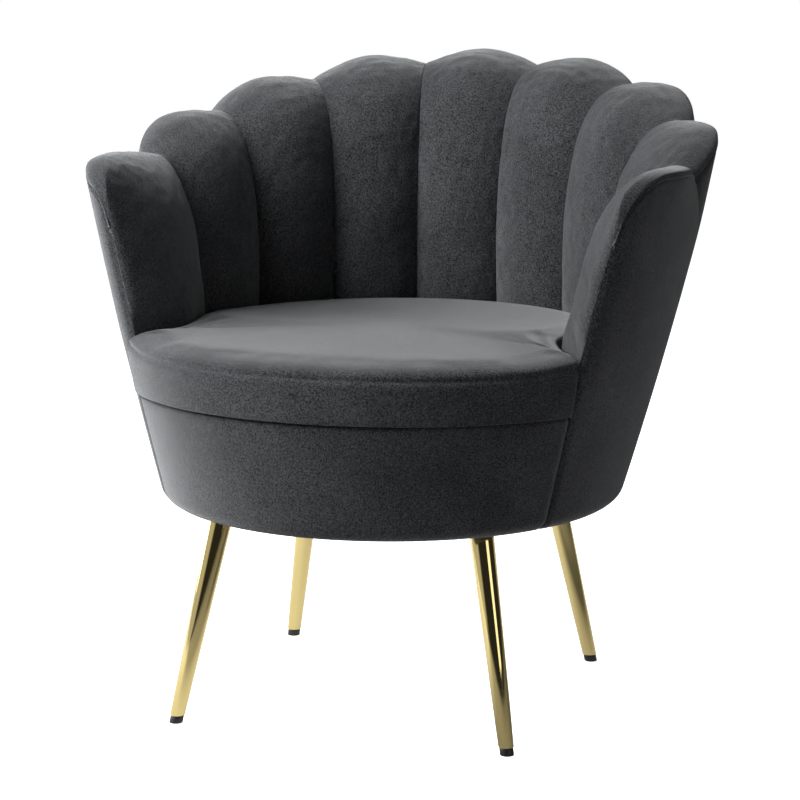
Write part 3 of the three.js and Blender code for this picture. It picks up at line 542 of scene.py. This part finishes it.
def two_colours(tree, source, dark, light, low=0, high=1):
    """A colour that goes from dark where the source is low to light where it is high."""
    ramp = add_node(tree, "ShaderNodeValToRGB", links={"Fac": source})
    for i, (position, code) in enumerate(((low, dark), (high, light))):
        ramp.color_ramp.elements[i].position = position
        ramp.color_ramp.elements[i].color = srgb(code)
    return ramp.outputs["Color"]


def spread(tree, source, to_low, to_high, from_low=0, from_high=1):
    """The source's values between from_low and from_high, spread over to_low to to_high."""
    inputs = {"From Min": from_low, "From Max": from_high, "To Min": to_low, "To Max": to_high}
    return add_node(tree, "ShaderNodeMapRange", inputs=inputs, links={"Value": source}).outputs["Result"]


def relief(tree, source, strength, height):
    inputs = {"Strength": strength, "Distance": height}
    return add_node(tree, "ShaderNodeBump", inputs=inputs, links={"Height": source}).outputs["Normal"]


def new_material(name):
    material = bpy.data.materials.new(name)
    material.use_nodes = True
    material.node_tree.nodes.clear()
    return material, material.node_tree


def surface(tree, inputs, links):
    shader = add_node(tree, "ShaderNodeBsdfPrincipled", inputs=inputs, links=links)
    add_node(tree, "ShaderNodeOutputMaterial", links={"Surface": shader.outputs["BSDF"]})


# Cotton velvet, woven with a short dense pile that is cut and brushed. It is dark where the eye looks
# into the pile and pale where light grazes it. The pile lies in soft patches up to 7 cm wide, and its
# tufts are drawn almost 2 mm apart, coarser than real ones, so that the grain shows in the render.
velvet, tree = new_material("cotton_velvet_cut_pile")
patches = noise(tree, 14, 3, 0.55)
tufts = noise(tree, 560, 3, 0.8)
shade = two_colours(tree, patches, "#37383a", "#434446", 0.3, 0.72)
speck = spread(tree, tufts, 0.15, 2.1, 0.36, 0.64)
flecked = add_node(
    tree, "ShaderNodeMix", {"data_type": "RGBA", "blend_type": "MULTIPLY"}, {"Factor": 1},
    {"A": shade, "B": speck},
)
surface(
    tree,
    {
        "Roughness": 0.85, "Specular IOR Level": 0,
        "Sheen Weight": 0.9, "Sheen Roughness": 0.38, "Sheen Tint": srgb("#dadcde"),
    },
    {"Base Color": flecked.outputs["Result"], "Normal": relief(tree, tufts, 0.7, 0.0014)},
)

# The velvet over a pad stretches, so that the foam fills it out without a wrinkle. A pad's points lie
# closer together than the cushion's, so each carries less of the velvet's weight.
PAD_STRETCH_STIFFNESS, PAD_POINT_MASS = 0.6, 0.04

# The velvet is held at its edges, in its first rows behind the rim, below the cushion's top and where an
# arm is thin. Elsewhere it moves no further than its drawn form and a little more.
PAD_SEWN_ROWS, PAD_SEWN_LEVEL, PAD_SEWN_DEPTH = 5, 0.466, 0.02
PAD_SPARE_MOVE = 0.0008
PAD_EDGE_CREASE = 0.9

# Where two petals meet, each stops just short of the groove.
PETAL_EDGE, GROOVE_GAP = 0.999, 0.996

petals = []
pads = []
for petal in range(PETALS):
    columns = petal_columns(petal)
    meets_petal = abs(columns) > PETAL_EDGE
    if is_arm(petal):
        meets_petal &= arm_side(petal) * columns < 0
    share = columns * np.where(meets_petal, GROOVE_GAP, 1)
    full_face, full_depth = petal_face(petal, share, 0)
    face, depth = petal_face(petal, share, SWELL)
    piece = closed_pad(f"petal_{petal + 1}", face, petal_back(petal, share, full_depth))
    row, column = np.divmod(numbered(face).ravel(), len(columns))
    edge = (row == 0) | (row == len(face) - 1) | (column == 0) | (column == len(columns) - 1)
    crease_edges(piece, np.concatenate([edge, edge]), PAD_EDGE_CREASE)
    sewn = edge | (row < PAD_SEWN_ROWS) | (face[..., 2].ravel() < PAD_SEWN_LEVEL)
    if is_arm(petal):
        sewn |= (depth < PAD_SEWN_DEPTH).ravel()
    limit = np.linalg.norm(full_face - face, axis=2).ravel() + PAD_SPARE_MOVE
    pads.append((piece, np.concatenate([sewn, np.ones_like(sewn)]), np.tile(limit, 2)))
    petals.append(piece)

fill_with_foam(pads, PAD_STRETCH_STIFFNESS, PAD_POINT_MASS)
for petal, piece in enumerate(petals):
    subdivide(piece)
    piece.data.materials.append(velvet)
    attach(piece, "frame")
    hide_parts(f"petal_pad_{petal + 1}")


# Outside cover of the back
# Velvet over thin wadding, wrapped round the bent board behind the petals. Its top edge is sewn to the
# petals, its front edges to the arms and the drum's front, and its foot is turned in under the drum.
COVER_FOOT = 0.253
FOOT_ROUNDING = 0.016
FLANGE = 0.032
FOOT_TURNS = np.linspace(0, 90, 9)[1:, None]
COVER_ROWS, ROW_BUNCHING = 70, 1.5
COVER_GAP = 0.0003
VELVET_THICKNESS = 0.0012


def foot_rows(top, rows):
    """Depth and height of a cover's rows, from its top edge down to its flange under the drum."""
    start = COVER_FOOT + FOOT_ROUNDING
    beyond = mix(FOOT_ROUNDING, FLANGE, np.array([[0.5], [1]]))
    fall = np.linspace(0, 1, rows)[:, None] ** ROW_BUNCHING
    z = [mix(top, start, fall), start - FOOT_ROUNDING * sin_deg(FOOT_TURNS) + 0 * top]
    depth = [np.zeros((rows, len(top))), FOOT_ROUNDING * (1 - cos_deg(FOOT_TURNS)) + 0 * top]
    z.append(COVER_FOOT + 0 * beyond + 0 * top)
    depth.append(beyond + 0 * top)
    return np.concatenate(depth), np.concatenate(z)


def new_cover(name, grid):
    """A velvet cover from a grid of points on its outer side."""
    cover = new_piece(name, grid, quads(numbered(grid)), True)
    wall = cover.modifiers.new("wall", "SOLIDIFY")
    wall.thickness = VELVET_THICKNESS
    wall.offset = -1
    subdivide(cover)
    cover.data.materials.append(velvet)
    return cover


lobes = []
for petal in range(PETALS):
    share = petal_columns(petal) if petal == 0 else petal_columns(petal)[1:]
    top = rim_height(petal, share) - seam_place(petal, share)[0] - COVER_GAP
    depth, z = foot_rows(top, COVER_ROWS)
    depth = depth + seam_pinch(top - z)
    if is_arm(petal):
        angle = petal_angle(petal, share, z)
        depth = depth + seam_pinch(seam_arc(angle, z))
    lobes.append(wall_points(petal, share, depth, z))
outside_cover = new_cover("outside_cover_velvet", np.concatenate(lobes, 1))
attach(outside_cover, "frame")
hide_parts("outside_cover")


# Front cover of the drum
# A second piece of the same velvet over wadding, sewn to the outside cover in an upright seam at each
# side. Its top edge is turned over the front of the seat frame, under the cushion.
SEAM_SLIT = 0.08
FRONT_TOP = 0.3905
FRONT_TOP_ROUNDING = 0.006
FRONT_TOP_FLANGE = 0.028
FRONT_ROWS, FRONT_COLUMNS = 26, 97

angle = np.linspace(ARM_SEAM_LOW + SEAM_SLIT, 360 - ARM_SEAM_LOW - SEAM_SLIT, FRONT_COLUMNS)
from_seam = angle - ARM_SEAM_LOW - SEAM_SLIT
from_seam = np.minimum(from_seam, from_seam[::-1])
turn = np.linspace(90, 0, 7)[:, None]
depth, z = foot_rows(0 * angle + FRONT_TOP - FRONT_TOP_ROUNDING, FRONT_ROWS)
over = np.array([[1], [0.5]]) * (FRONT_TOP_FLANGE - FRONT_TOP_ROUNDING) + FRONT_TOP_ROUNDING
curve = FRONT_TOP_ROUNDING * (1 - cos_deg(turn))
curve_z = FRONT_TOP - FRONT_TOP_ROUNDING * (1 - sin_deg(turn))
depth = np.concatenate([over + 0 * angle, curve + 0 * angle, depth[1:]])
z = np.concatenate([FRONT_TOP + 0 * over + 0 * angle, curve_z + 0 * angle, z[1:]])
signed = np.where(angle > 180, angle - 360, angle)
depth = depth + seam_pinch(np.radians(from_seam) * outer_radius(z))
front_cover = new_cover("drum_front_velvet", ring_point(signed, ring_radius(signed, z) - depth, z))
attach(front_cover, "frame")
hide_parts("drum_front_cover")


# Seat cushion
# A loose, boxed cushion: a crowned top panel and a bottom panel sewn to a band of the same velvet, over
# one block of foam. The petals squeeze its back edge up, and at the front it spreads round the arms.

# The crown of its top, which stands higher at the back and rolls over more steeply at the front.
CUSHION_FOOT, CUSHION_SEAM, CUSHION_CROWN, CROWN_POWER = 0.3912, 0.442, 0.0185, 2.4
CUSHION_RISE, RISE_ANGLE, LEVEL_ANGLE = 0.016, 108, 136
CUSHION_RADIUS = 0.33
EDGE_ROLL, EDGE_ROLL_DEPTH, EDGE_ROLL_POWERS = 0.0185, 0.040, (2.3, 0.48)
ROLL_START_ANGLE, ROLL_EASE_ANGLE = 40, 84

# Its outline, which follows the petals' crests, then the arms' faces, and runs free in front of them.
# Its points lie closer together in the ears, where it turns round an arm's front.
CREST_RADIUS = outer_radius(WALL_LEVEL) - WALL_DEPTH - PETAL_BULGE
CREST_ANGLE, EAR_START_ANGLE, FREE_ANGLES = 103, 105, (127, 178)
CREST_POINTS, EAR_POINTS, FREE_POINTS = 32, 18, 28
EAR_TURN, EAR_BUNCHING, EAR_STEPS = 0.25, 1.6, (0.6, 1.4, 2.6)
CUSHION_OVERHANG, CUSHION_GAP, LEAST_FACE_DEPTH = 0.004, 0.0016, 0.0085
BAND_HEIGHT, BAND_BULGE, BAND_BULGE_POWER, BAND_SWELL = 0.051, 0.004, 0.8, 0.6

# Its rings of points: over the top, down the band, and under the bottom.
CROWN_SCALES = np.concatenate([np.linspace(0.03, 0.8, 16), np.linspace(0.83, 0.98, 9), [0.99, 0.996]])
BAND_SHARES = np.concatenate([[0, 0.025, 0.06], np.linspace(0.12, 0.92, 12), [0.97, 1]])
BASE_SCALES = (0.99, 0.97, 0.9, 0.7, 0.4, 0.03)

# Its velvet is firmer than that over the pads, and its points lie further apart. It is held along the seam
# round the top, where the petals and arms press on the band, and from the band's lowest rows down.
CUSHION_SWELL, CUSHION_STRETCH_STIFFNESS, CUSHION_POINT_MASS = 0.005, 15, 0.3
CUSHION_SEWN_ROWS = len(BASE_SCALES) + 2
CUSHION_SPARE_MOVE = 0.0015
CUSHION_SEAM_CREASE = 0.6

ear_angles = mix(EAR_START_ANGLE, ARM_SEAM_LOW, 1 - np.linspace(1, 0, EAR_POINTS) ** EAR_BUNCHING)
half = np.concatenate([
    np.linspace(0, CREST_ANGLE, CREST_POINTS), ear_angles, ARM_SEAM_LOW + EAR_TURN * np.array([1, 2]),
    ARM_SEAM_LOW + 2 * EAR_TURN + np.array(EAR_STEPS), np.linspace(*FREE_ANGLES, FREE_POINTS),
])
cushion_angles = np.concatenate([half, [180], -half[:0:-1]])
turned = np.abs(cushion_angles)
rise = CUSHION_RISE * sin_deg(90 * np.clip((LEVEL_ANGLE - turned) / (LEVEL_ANGLE - RISE_ANGLE), 0, 1)) ** 2
is_free = turned > ARM_SEAM_LOW + 1.5 * EAR_TURN
is_front = ease((turned - ROLL_START_ANGLE) / ROLL_EASE_ANGLE)


def arm_face_radius(petal, share, z):
    return shell_radius(petal, share, z) - np.maximum(LEAST_FACE_DEPTH, face_depth(petal, share, z))


def cushion_radius(z):
    """The cushion's outline at a height: inside the petals and arms, then over the drum's front."""
    free = ring_radius(turned, z) + CUSHION_OVERHANG * (CUSHION_SEAM - z) / (CUSHION_SEAM - CUSHION_FOOT)
    share = np.clip(2 * (turned - EAR_TURN - GROOVE_ANGLE) / (arm_seam_angle(z) - GROOVE_ANGLE) - 1, -1, 1)
    left = arm_face_radius(0, -share, z)
    right = arm_face_radius(LAST, share, z)
    beside_arm = np.where(cushion_angles < 0, left, right) - CUSHION_GAP
    inside = np.where(turned <= CREST_ANGLE, CREST_RADIUS - CUSHION_GAP, np.minimum(beside_arm, free))
    return np.where(is_free, free, inside)


def cushion_ring(z, outward=0, scale=1, lift=0):
    radius = (cushion_radius(z) + outward) * scale
    ring = ring_point(cushion_angles, radius, 0 * radius + z)
    ring[:, 2] += lift
    return ring


def cushion_rings(swell):
    """The cushion's rings, drawn in by the swell where the foam will push its velvet out."""
    crown = CUSHION_CROWN - swell
    bulge = BAND_BULGE - BAND_SWELL * swell
    steep, round_over = EDGE_ROLL_POWERS
    rings = []
    for scale in CROWN_SCALES:
        from_edge = np.clip((1 - scale) * CUSHION_RADIUS / EDGE_ROLL_DEPTH, 0, 1)
        rolled = EDGE_ROLL * (1 - (1 - from_edge) ** steep) ** round_over
        rolled = rolled + (crown - EDGE_ROLL) * (1 - scale**2)
        lift = mix(crown * (1 - scale**CROWN_POWER), rolled, is_front) + rise * scale**CROWN_POWER
        rings.append(cushion_ring(CUSHION_SEAM, 0, scale, lift))
    for share in BAND_SHARES:
        pinch = seam_pinch(share * BAND_HEIGHT) * is_free
        side = bulge * is_free * math.sin(math.pi * share) ** BAND_BULGE_POWER - pinch
        rings.append(cushion_ring(mix(CUSHION_SEAM, CUSHION_FOOT, share), side, 1, rise * (1 - share)))
    for scale in BASE_SCALES:
        rings.append(cushion_ring(CUSHION_FOOT, 0, scale))
    return np.array(rings)


full_rings = cushion_rings(0)
rings = cushion_rings(CUSHION_SWELL)
index = numbered(rings)
cushion = new_piece("seat_cushion", rings, quads(np.concatenate([index, index[:, :1]], 1)), True)
choose(cushion)
bpy.ops.object.mode_set(mode="EDIT")
bpy.ops.mesh.select_all(action="SELECT")
bpy.ops.mesh.fill_holes(sides=0)
bpy.ops.mesh.normals_make_consistent(inside=False)
bpy.ops.object.mode_set(mode="OBJECT")
row = index.ravel() // len(turned)
seam_row = len(CROWN_SCALES)
crease_edges(cushion, row == seam_row, CUSHION_SEAM_CREASE)
pressed_band = (row >= seam_row - 1) & ~np.tile(is_free, len(rings))
sewn = (row >= len(rings) - CUSHION_SEWN_ROWS) | pressed_band | (row == seam_row)
limit = np.linalg.norm(full_rings - rings, axis=2).ravel() + CUSHION_SPARE_MOVE
fill_with_foam([(cushion, sewn, limit)], CUSHION_STRETCH_STIFFNESS, CUSHION_POINT_MASS)
subdivide(cushion)
cushion.data.materials.append(velvet)
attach(cushion, "cushion")
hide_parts("cushion_foam", "cushion_top_panel", "cushion_boxing", "cushion_bottom_panel")


# Stitches
# Dark grey sewing thread along the seams that show: round the front of the cushion's top edge, and up the
# front and over the top of both arms. Each stitch is 3 mm long and lies in the seam, 3 mm from the next.
STITCH, STITCH_STEP, THREAD = 0.0030, 0.0060, 0.00045
STITCH_DEPTH, CUSHION_STITCH_DROP = 0.0016, 0.0002
STITCH_FOOT, STITCH_END, STITCH_BUNCHING = 0.46, -0.9, 1.5
UPRIGHT_POINTS, TOP_POINTS = 60, 120
SLOPE_REACH = 0.001
ACROSS_SEAM = (0.3, 0.2, 0.9)

# Spun polyester thread, dyed dark grey and tight in its stitches: darker than the pile beside it, with
# its plies under 1 mm apart.
thread, tree = new_material("spun_polyester_thread")
plies = two_colours(tree, noise(tree, 1500, 1), "#202123", "#3c3d3f")
surface(tree, {"Roughness": 0.6, "Sheen Weight": 0.3}, {"Base Color": plies})

deselect()
bpy.ops.mesh.primitive_uv_sphere_add(segments=6, ring_count=5, radius=1, location=(0, 0, 0))
stitch = bpy.context.object
stitch_points = corners_of(stitch) * (THREAD, THREAD, STITCH / 2)
stitch_faces = [list(face.vertices) for face in stitch.data.polygons]
bpy.data.objects.remove(stitch)


def stitch_row(name, line, body):
    """Lays stitches one after another along a line of points."""
    lengths = np.concatenate([[0], np.cumsum(np.linalg.norm(np.diff(line, axis=0), axis=1))])

    def place_at(distance):
        return np.array([np.interp(distance, lengths, line[:, i]) for i in range(3)])

    points, faces = [], []
    for stop in np.arange(STITCH_STEP, lengths[-1] - STITCH_STEP, STITCH_STEP):
        low, high = place_at(stop - SLOPE_REACH), place_at(stop + SLOPE_REACH)
        along = (high - low) / np.linalg.norm(high - low)
        side = np.cross(along, ACROSS_SEAM)
        side /= np.linalg.norm(side)
        turn = np.stack([side, np.cross(along, side), along])
        faces += [[i + len(points) * len(stitch_points) for i in face] for face in stitch_faces]
        points.append((low + high) / 2 + stitch_points @ turn)
    mesh = bpy.data.meshes.new(name)
    mesh.from_pydata(np.concatenate(points).tolist(), [], faces)
    mesh.materials.append(thread)
    mesh.shade_smooth()
    stitches = bpy.data.objects.new(name, mesh)
    scene.collection.objects.link(stitches)
    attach(stitches, body)


for petal in (0, LAST):
    side = arm_side(petal)
    z = np.linspace(STITCH_FOOT, ARM_SHOULDER - SEAM_DROP, UPRIGHT_POINTS)
    upright = wall_points(petal, side, STITCH_DEPTH, z)
    share = side * mix(1, STITCH_END, np.linspace(0, 1, TOP_POINTS) ** STITCH_BUNCHING)
    z = rim_height(petal, share) - seam_place(petal, share)[0]
    over_top = wall_points(petal, share, STITCH_DEPTH, z)
    stitch_row(f"arm_seam_stitches_{petal + 1}", np.concatenate([upright, over_top[1:]]), "frame")
cushion_seam = full_rings[seam_row, np.flatnonzero(is_free)] - (0, 0, CUSHION_STITCH_DROP)
stitch_row("cushion_seam_stitches", cushion_seam, "cushion")


# Legs
# Four tapered steel tubes, plated and polished to a brass colour, screwed up under the drum and splayed
# to the corners. Each ends in a black moulded glide.
LEG_TOP, LEG_FOOT = 0.160, 0.2055
LEG_TOP_Z, GLIDE_TOP_Z, GLIDE_GAP = 0.2527, 0.009, 0.0002
LEG_TOP_RADIUS, LEG_FOOT_RADIUS = 0.0145, 0.009
GLIDE_RADIUS = 0.0082
LEG_SIDES, GLIDE_SIDES = 96, 48
TUBE_EDGE, SHARP_ANGLE = 0.001, 40
CORNERS = {"front_left": (-1, -1), "front_right": (1, -1), "back_left": (-1, 1), "back_right": (1, 1)}


def new_tube(name, radius_low, radius_high, low, high, sides):
    """An upright, tapered piece with slightly rounded edges."""
    middle = (0, 0, (low + high) / 2)
    deselect()
    bpy.ops.mesh.primitive_cone_add(
        vertices=sides, radius1=radius_low, radius2=radius_high, depth=high - low, location=middle
    )
    tube = bpy.context.object
    tube.name = name
    bpy.ops.object.transform_apply(location=True, rotation=True, scale=True)
    edge = tube.modifiers.new("edge", "BEVEL")
    edge.width = TUBE_EDGE
    edge.segments = 3
    edge.limit_method = "ANGLE"
    apply_modifiers(tube)
    return tube


def lean(piece, corner):
    """Shifts each level of an upright piece out along its leg's line."""
    places = corners_of(piece)
    offset = mix(LEG_FOOT, LEG_TOP, places[:, 2] / LEG_TOP_Z)
    places[:, 0] += corner[0] * offset
    places[:, 1] += corner[1] * offset + SHIFT_Y
    piece.data.vertices.foreach_set("co", places.ravel())
    bpy.ops.object.shade_smooth_by_angle(angle=math.radians(SHARP_ANGLE))


# Brass-coloured plating on steel tube, buffed bright: it mirrors the room in long upright streaks, a
# little softened by fine polishing lines that run along the leg, about 1 mm apart.
brass, tree = new_material("polished_brass_plate")
polishing = spread(tree, noise(tree, 900, 2, stretch=(1, 1, 0.05)), 0.05, 0.12)
surface(tree, {"Base Color": srgb("#d3c085"), "Metallic": 1}, {"Roughness": polishing})

# Moulded black plastic with a fine satin texture: it gives a dull, broad highlight.
glide_plastic, tree = new_material("moulded_black_plastic")
satin = relief(tree, noise(tree, 2500, 1), 0.2, 0.0001)
surface(tree, {"Base Color": srgb("#101012"), "Roughness": 0.45}, {"Normal": satin})

for corner, signs in CORNERS.items():
    leg = new_tube(f"brass_leg_{corner}", LEG_FOOT_RADIUS, LEG_TOP_RADIUS, GLIDE_TOP_Z, LEG_TOP_Z, LEG_SIDES)
    lean(leg, signs)
    leg.data.materials.append(brass)
    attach(leg, "frame")
    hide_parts(f"leg_{corner}")
    glide_top = GLIDE_TOP_Z - GLIDE_GAP
    glide = new_tube(f"plastic_glide_{corner}", GLIDE_RADIUS, GLIDE_RADIUS, 0, glide_top, GLIDE_SIDES)
    lean(glide, signs)
    glide.data.materials.append(glide_plastic)
    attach(glide, "frame")
    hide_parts(f"leg_glide_{corner}")


# Frame inside the upholstery
# Boards, blocks, ribs, webbing, deck, dust cover and leg fixings keep the shapes of their solids. Most of
# them stay hidden, but the dust cover shows from below and the deck when the cushion is lifted.
def grained(name, dark, light, scale, stretch, roughness):
    """A material whose colour and relief follow one noise."""
    material, tree = new_material(name)
    grain = noise(tree, scale, 4, stretch=stretch)
    colour = two_colours(tree, grain, dark, light, 0.35, 0.65)
    raised = relief(tree, grain, 0.3, 0.0003)
    surface(tree, {"Roughness": roughness}, {"Base Color": colour, "Normal": raised})
    return material


inner_finishes = {
    # Birch plywood, rotary cut and sanded: pale, with grain 2 to 3 mm wide along the sheet.
    "plywood": grained("sanded_birch_plywood", "#b58f5c", "#d2b184", 400, (1, 0.06, 1), 0.6),
    # Tempered hardboard, pressed from wood fibre: an even brown with 1 mm fibres.
    "fibreboard": grained("tempered_hardboard", "#74522f", "#8f6b42", 900, (1, 1, 1), 0.5),
    # Elastic webbing, woven polyester over rubber: black, with a weave about 1.5 mm wide.
    "webbing": grained("woven_elastic_webbing", "#202224", "#3a3c40", 650, (1, 1, 1), 0.8),
    # Spun-bonded polypropylene cloth: thin, black and faintly dimpled every 1 mm.
    "felt": grained("spun_bonded_black_cloth", "#1c1d1f", "#2b2c2f", 1000, (1, 1, 1), 0.9),
}
# Steel with a bright zinc plate: silver-grey, a little mottled in spangles 2 mm wide.
zinc, tree = new_material("zinc_plated_steel")
spangles = spread(tree, noise(tree, 500, 1), 0.25, 0.45)
surface(tree, {"Base Color": srgb("#b9bcc0"), "Metallic": 1}, {"Roughness": spangles})
inner_finishes["zinc_steel"] = zinc

slots = {part["node"]: part["material_slot"] for part in frame["record"]["subparts"]}
for name, node in nodes.items():
    if slots.get(name) in inner_finishes:
        node.data.materials.clear()
        node.data.materials.append(inner_finishes[slots[name]])


# Floor and light
# A white studio floor and room. Five softboxes stand on the left, from in front of the chair round to
# behind it, and two weak lights on the right.
FLOOR_WIDTH = 24

# In reflections the room is less bright, and it is almost dark in front of the chair and on the right.
# Its walls light the chair only faintly.
DARK_SIDE = (0.8, -0.6, 0)
DARK_SIDE_START, DARK_SIDE_FULL = 0.02, 0.26
LIT_ROOM, DARK_ROOM = 0.68, 0.03
WALL_LIGHT = 0.03


def room_light(tree, toward, elsewhere):
    """How bright the room is: full for the eye, lit or dark in reflections, and elsewhere as given."""
    path = add_node(tree, "ShaderNodeLightPath")
    side = add_node(tree, "ShaderNodeVectorMath", {"operation": "DOT_PRODUCT"}, {1: DARK_SIDE}, {0: toward})
    room = spread(tree, side.outputs["Value"], LIT_ROOM, DARK_ROOM, DARK_SIDE_START, DARK_SIDE_FULL)
    mirrored = add_node(
        tree, "ShaderNodeMix", inputs={"A": elsewhere},
        links={"Factor": path.outputs["Is Glossy Ray"], "B": room},
    )
    return add_node(
        tree, "ShaderNodeMix", inputs={"B": 1},
        links={"Factor": path.outputs["Is Camera Ray"], "A": mirrored.outputs["Result"]},
    ).outputs["Result"]


# Matt white painted floor, lit until it is as bright as the room behind it. It throws less light up at the
# chair than the eye sees in it.
floor_paint, tree = new_material("matt_white_floor")
seen = add_node(tree, "ShaderNodeLightPath").outputs["Is Camera Ray"]
glow = room_light(tree, add_node(tree, "ShaderNodeTexCoord").outputs["Object"], 0)
surface(
    tree, {"Roughness": 0.9, "Emission Color": (1, 1, 1, 1), "Specular IOR Level": 0.1},
    {"Base Color": spread(tree, seen, 0.3, 0.8), "Emission Strength": glow},
)

deselect()
bpy.ops.mesh.primitive_plane_add(size=FLOOR_WIDTH, location=(0, 0, 0))
floor = bpy.context.object
floor.name = "floor"
floor.data.materials.append(floor_paint)

world = bpy.data.worlds.new("studio")
world.use_nodes = True
tree = world.node_tree
strength = room_light(tree, add_node(tree, "ShaderNodeTexCoord").outputs["Generated"], WALL_LIGHT)
tree.nodes["Background"].inputs["Color"].default_value = (1, 1, 1, 1)
tree.links.new(strength, tree.nodes["Background"].inputs["Strength"])
scene.world = world

# The lights all look at the middle of the chair. Each is given by its place, its width and height, and its
# power in watts.
LIGHT_AIM = (0, 0, 0.45)
LIGHTS = {
    "left_softbox": ((-1.99, -1.15, 1.67), 1.0, 1.0, 66),
    "high_softbox": ((-1.39, -0.80, 2.50), 1.0, 1.0, 41),
    "front_softbox": ((-1.32, -1.88, 1.67), 1.0, 1.0, 15),
    "side_softbox": ((-2.57, 0.22, 0.81), 1.0, 1.2, 24),
    "rear_softbox": ((-2.23, 1.29, 0.81), 1.0, 1.2, 74),
    "back_softbox": ((1.99, 1.15, 1.67), 1.0, 1.0, 6),
    "right_card": ((2.24, -1.29, 0.72), 1.0, 1.0, 6),
}

for name, (place, width, height, power) in LIGHTS.items():
    data = bpy.data.lights.new(name, "AREA")
    data.shape = "RECTANGLE"
    data.size = width
    data.size_y = height
    data.energy = power
    light = bpy.data.objects.new(name, data)
    light.location = place
    x, y, z = (aim - at for at, aim in zip(place, LIGHT_AIM))
    light.rotation_euler = (math.atan2(math.hypot(x, y), -z), 0, math.atan2(y, x) - math.pi / 2)
    scene.collection.objects.link(light)
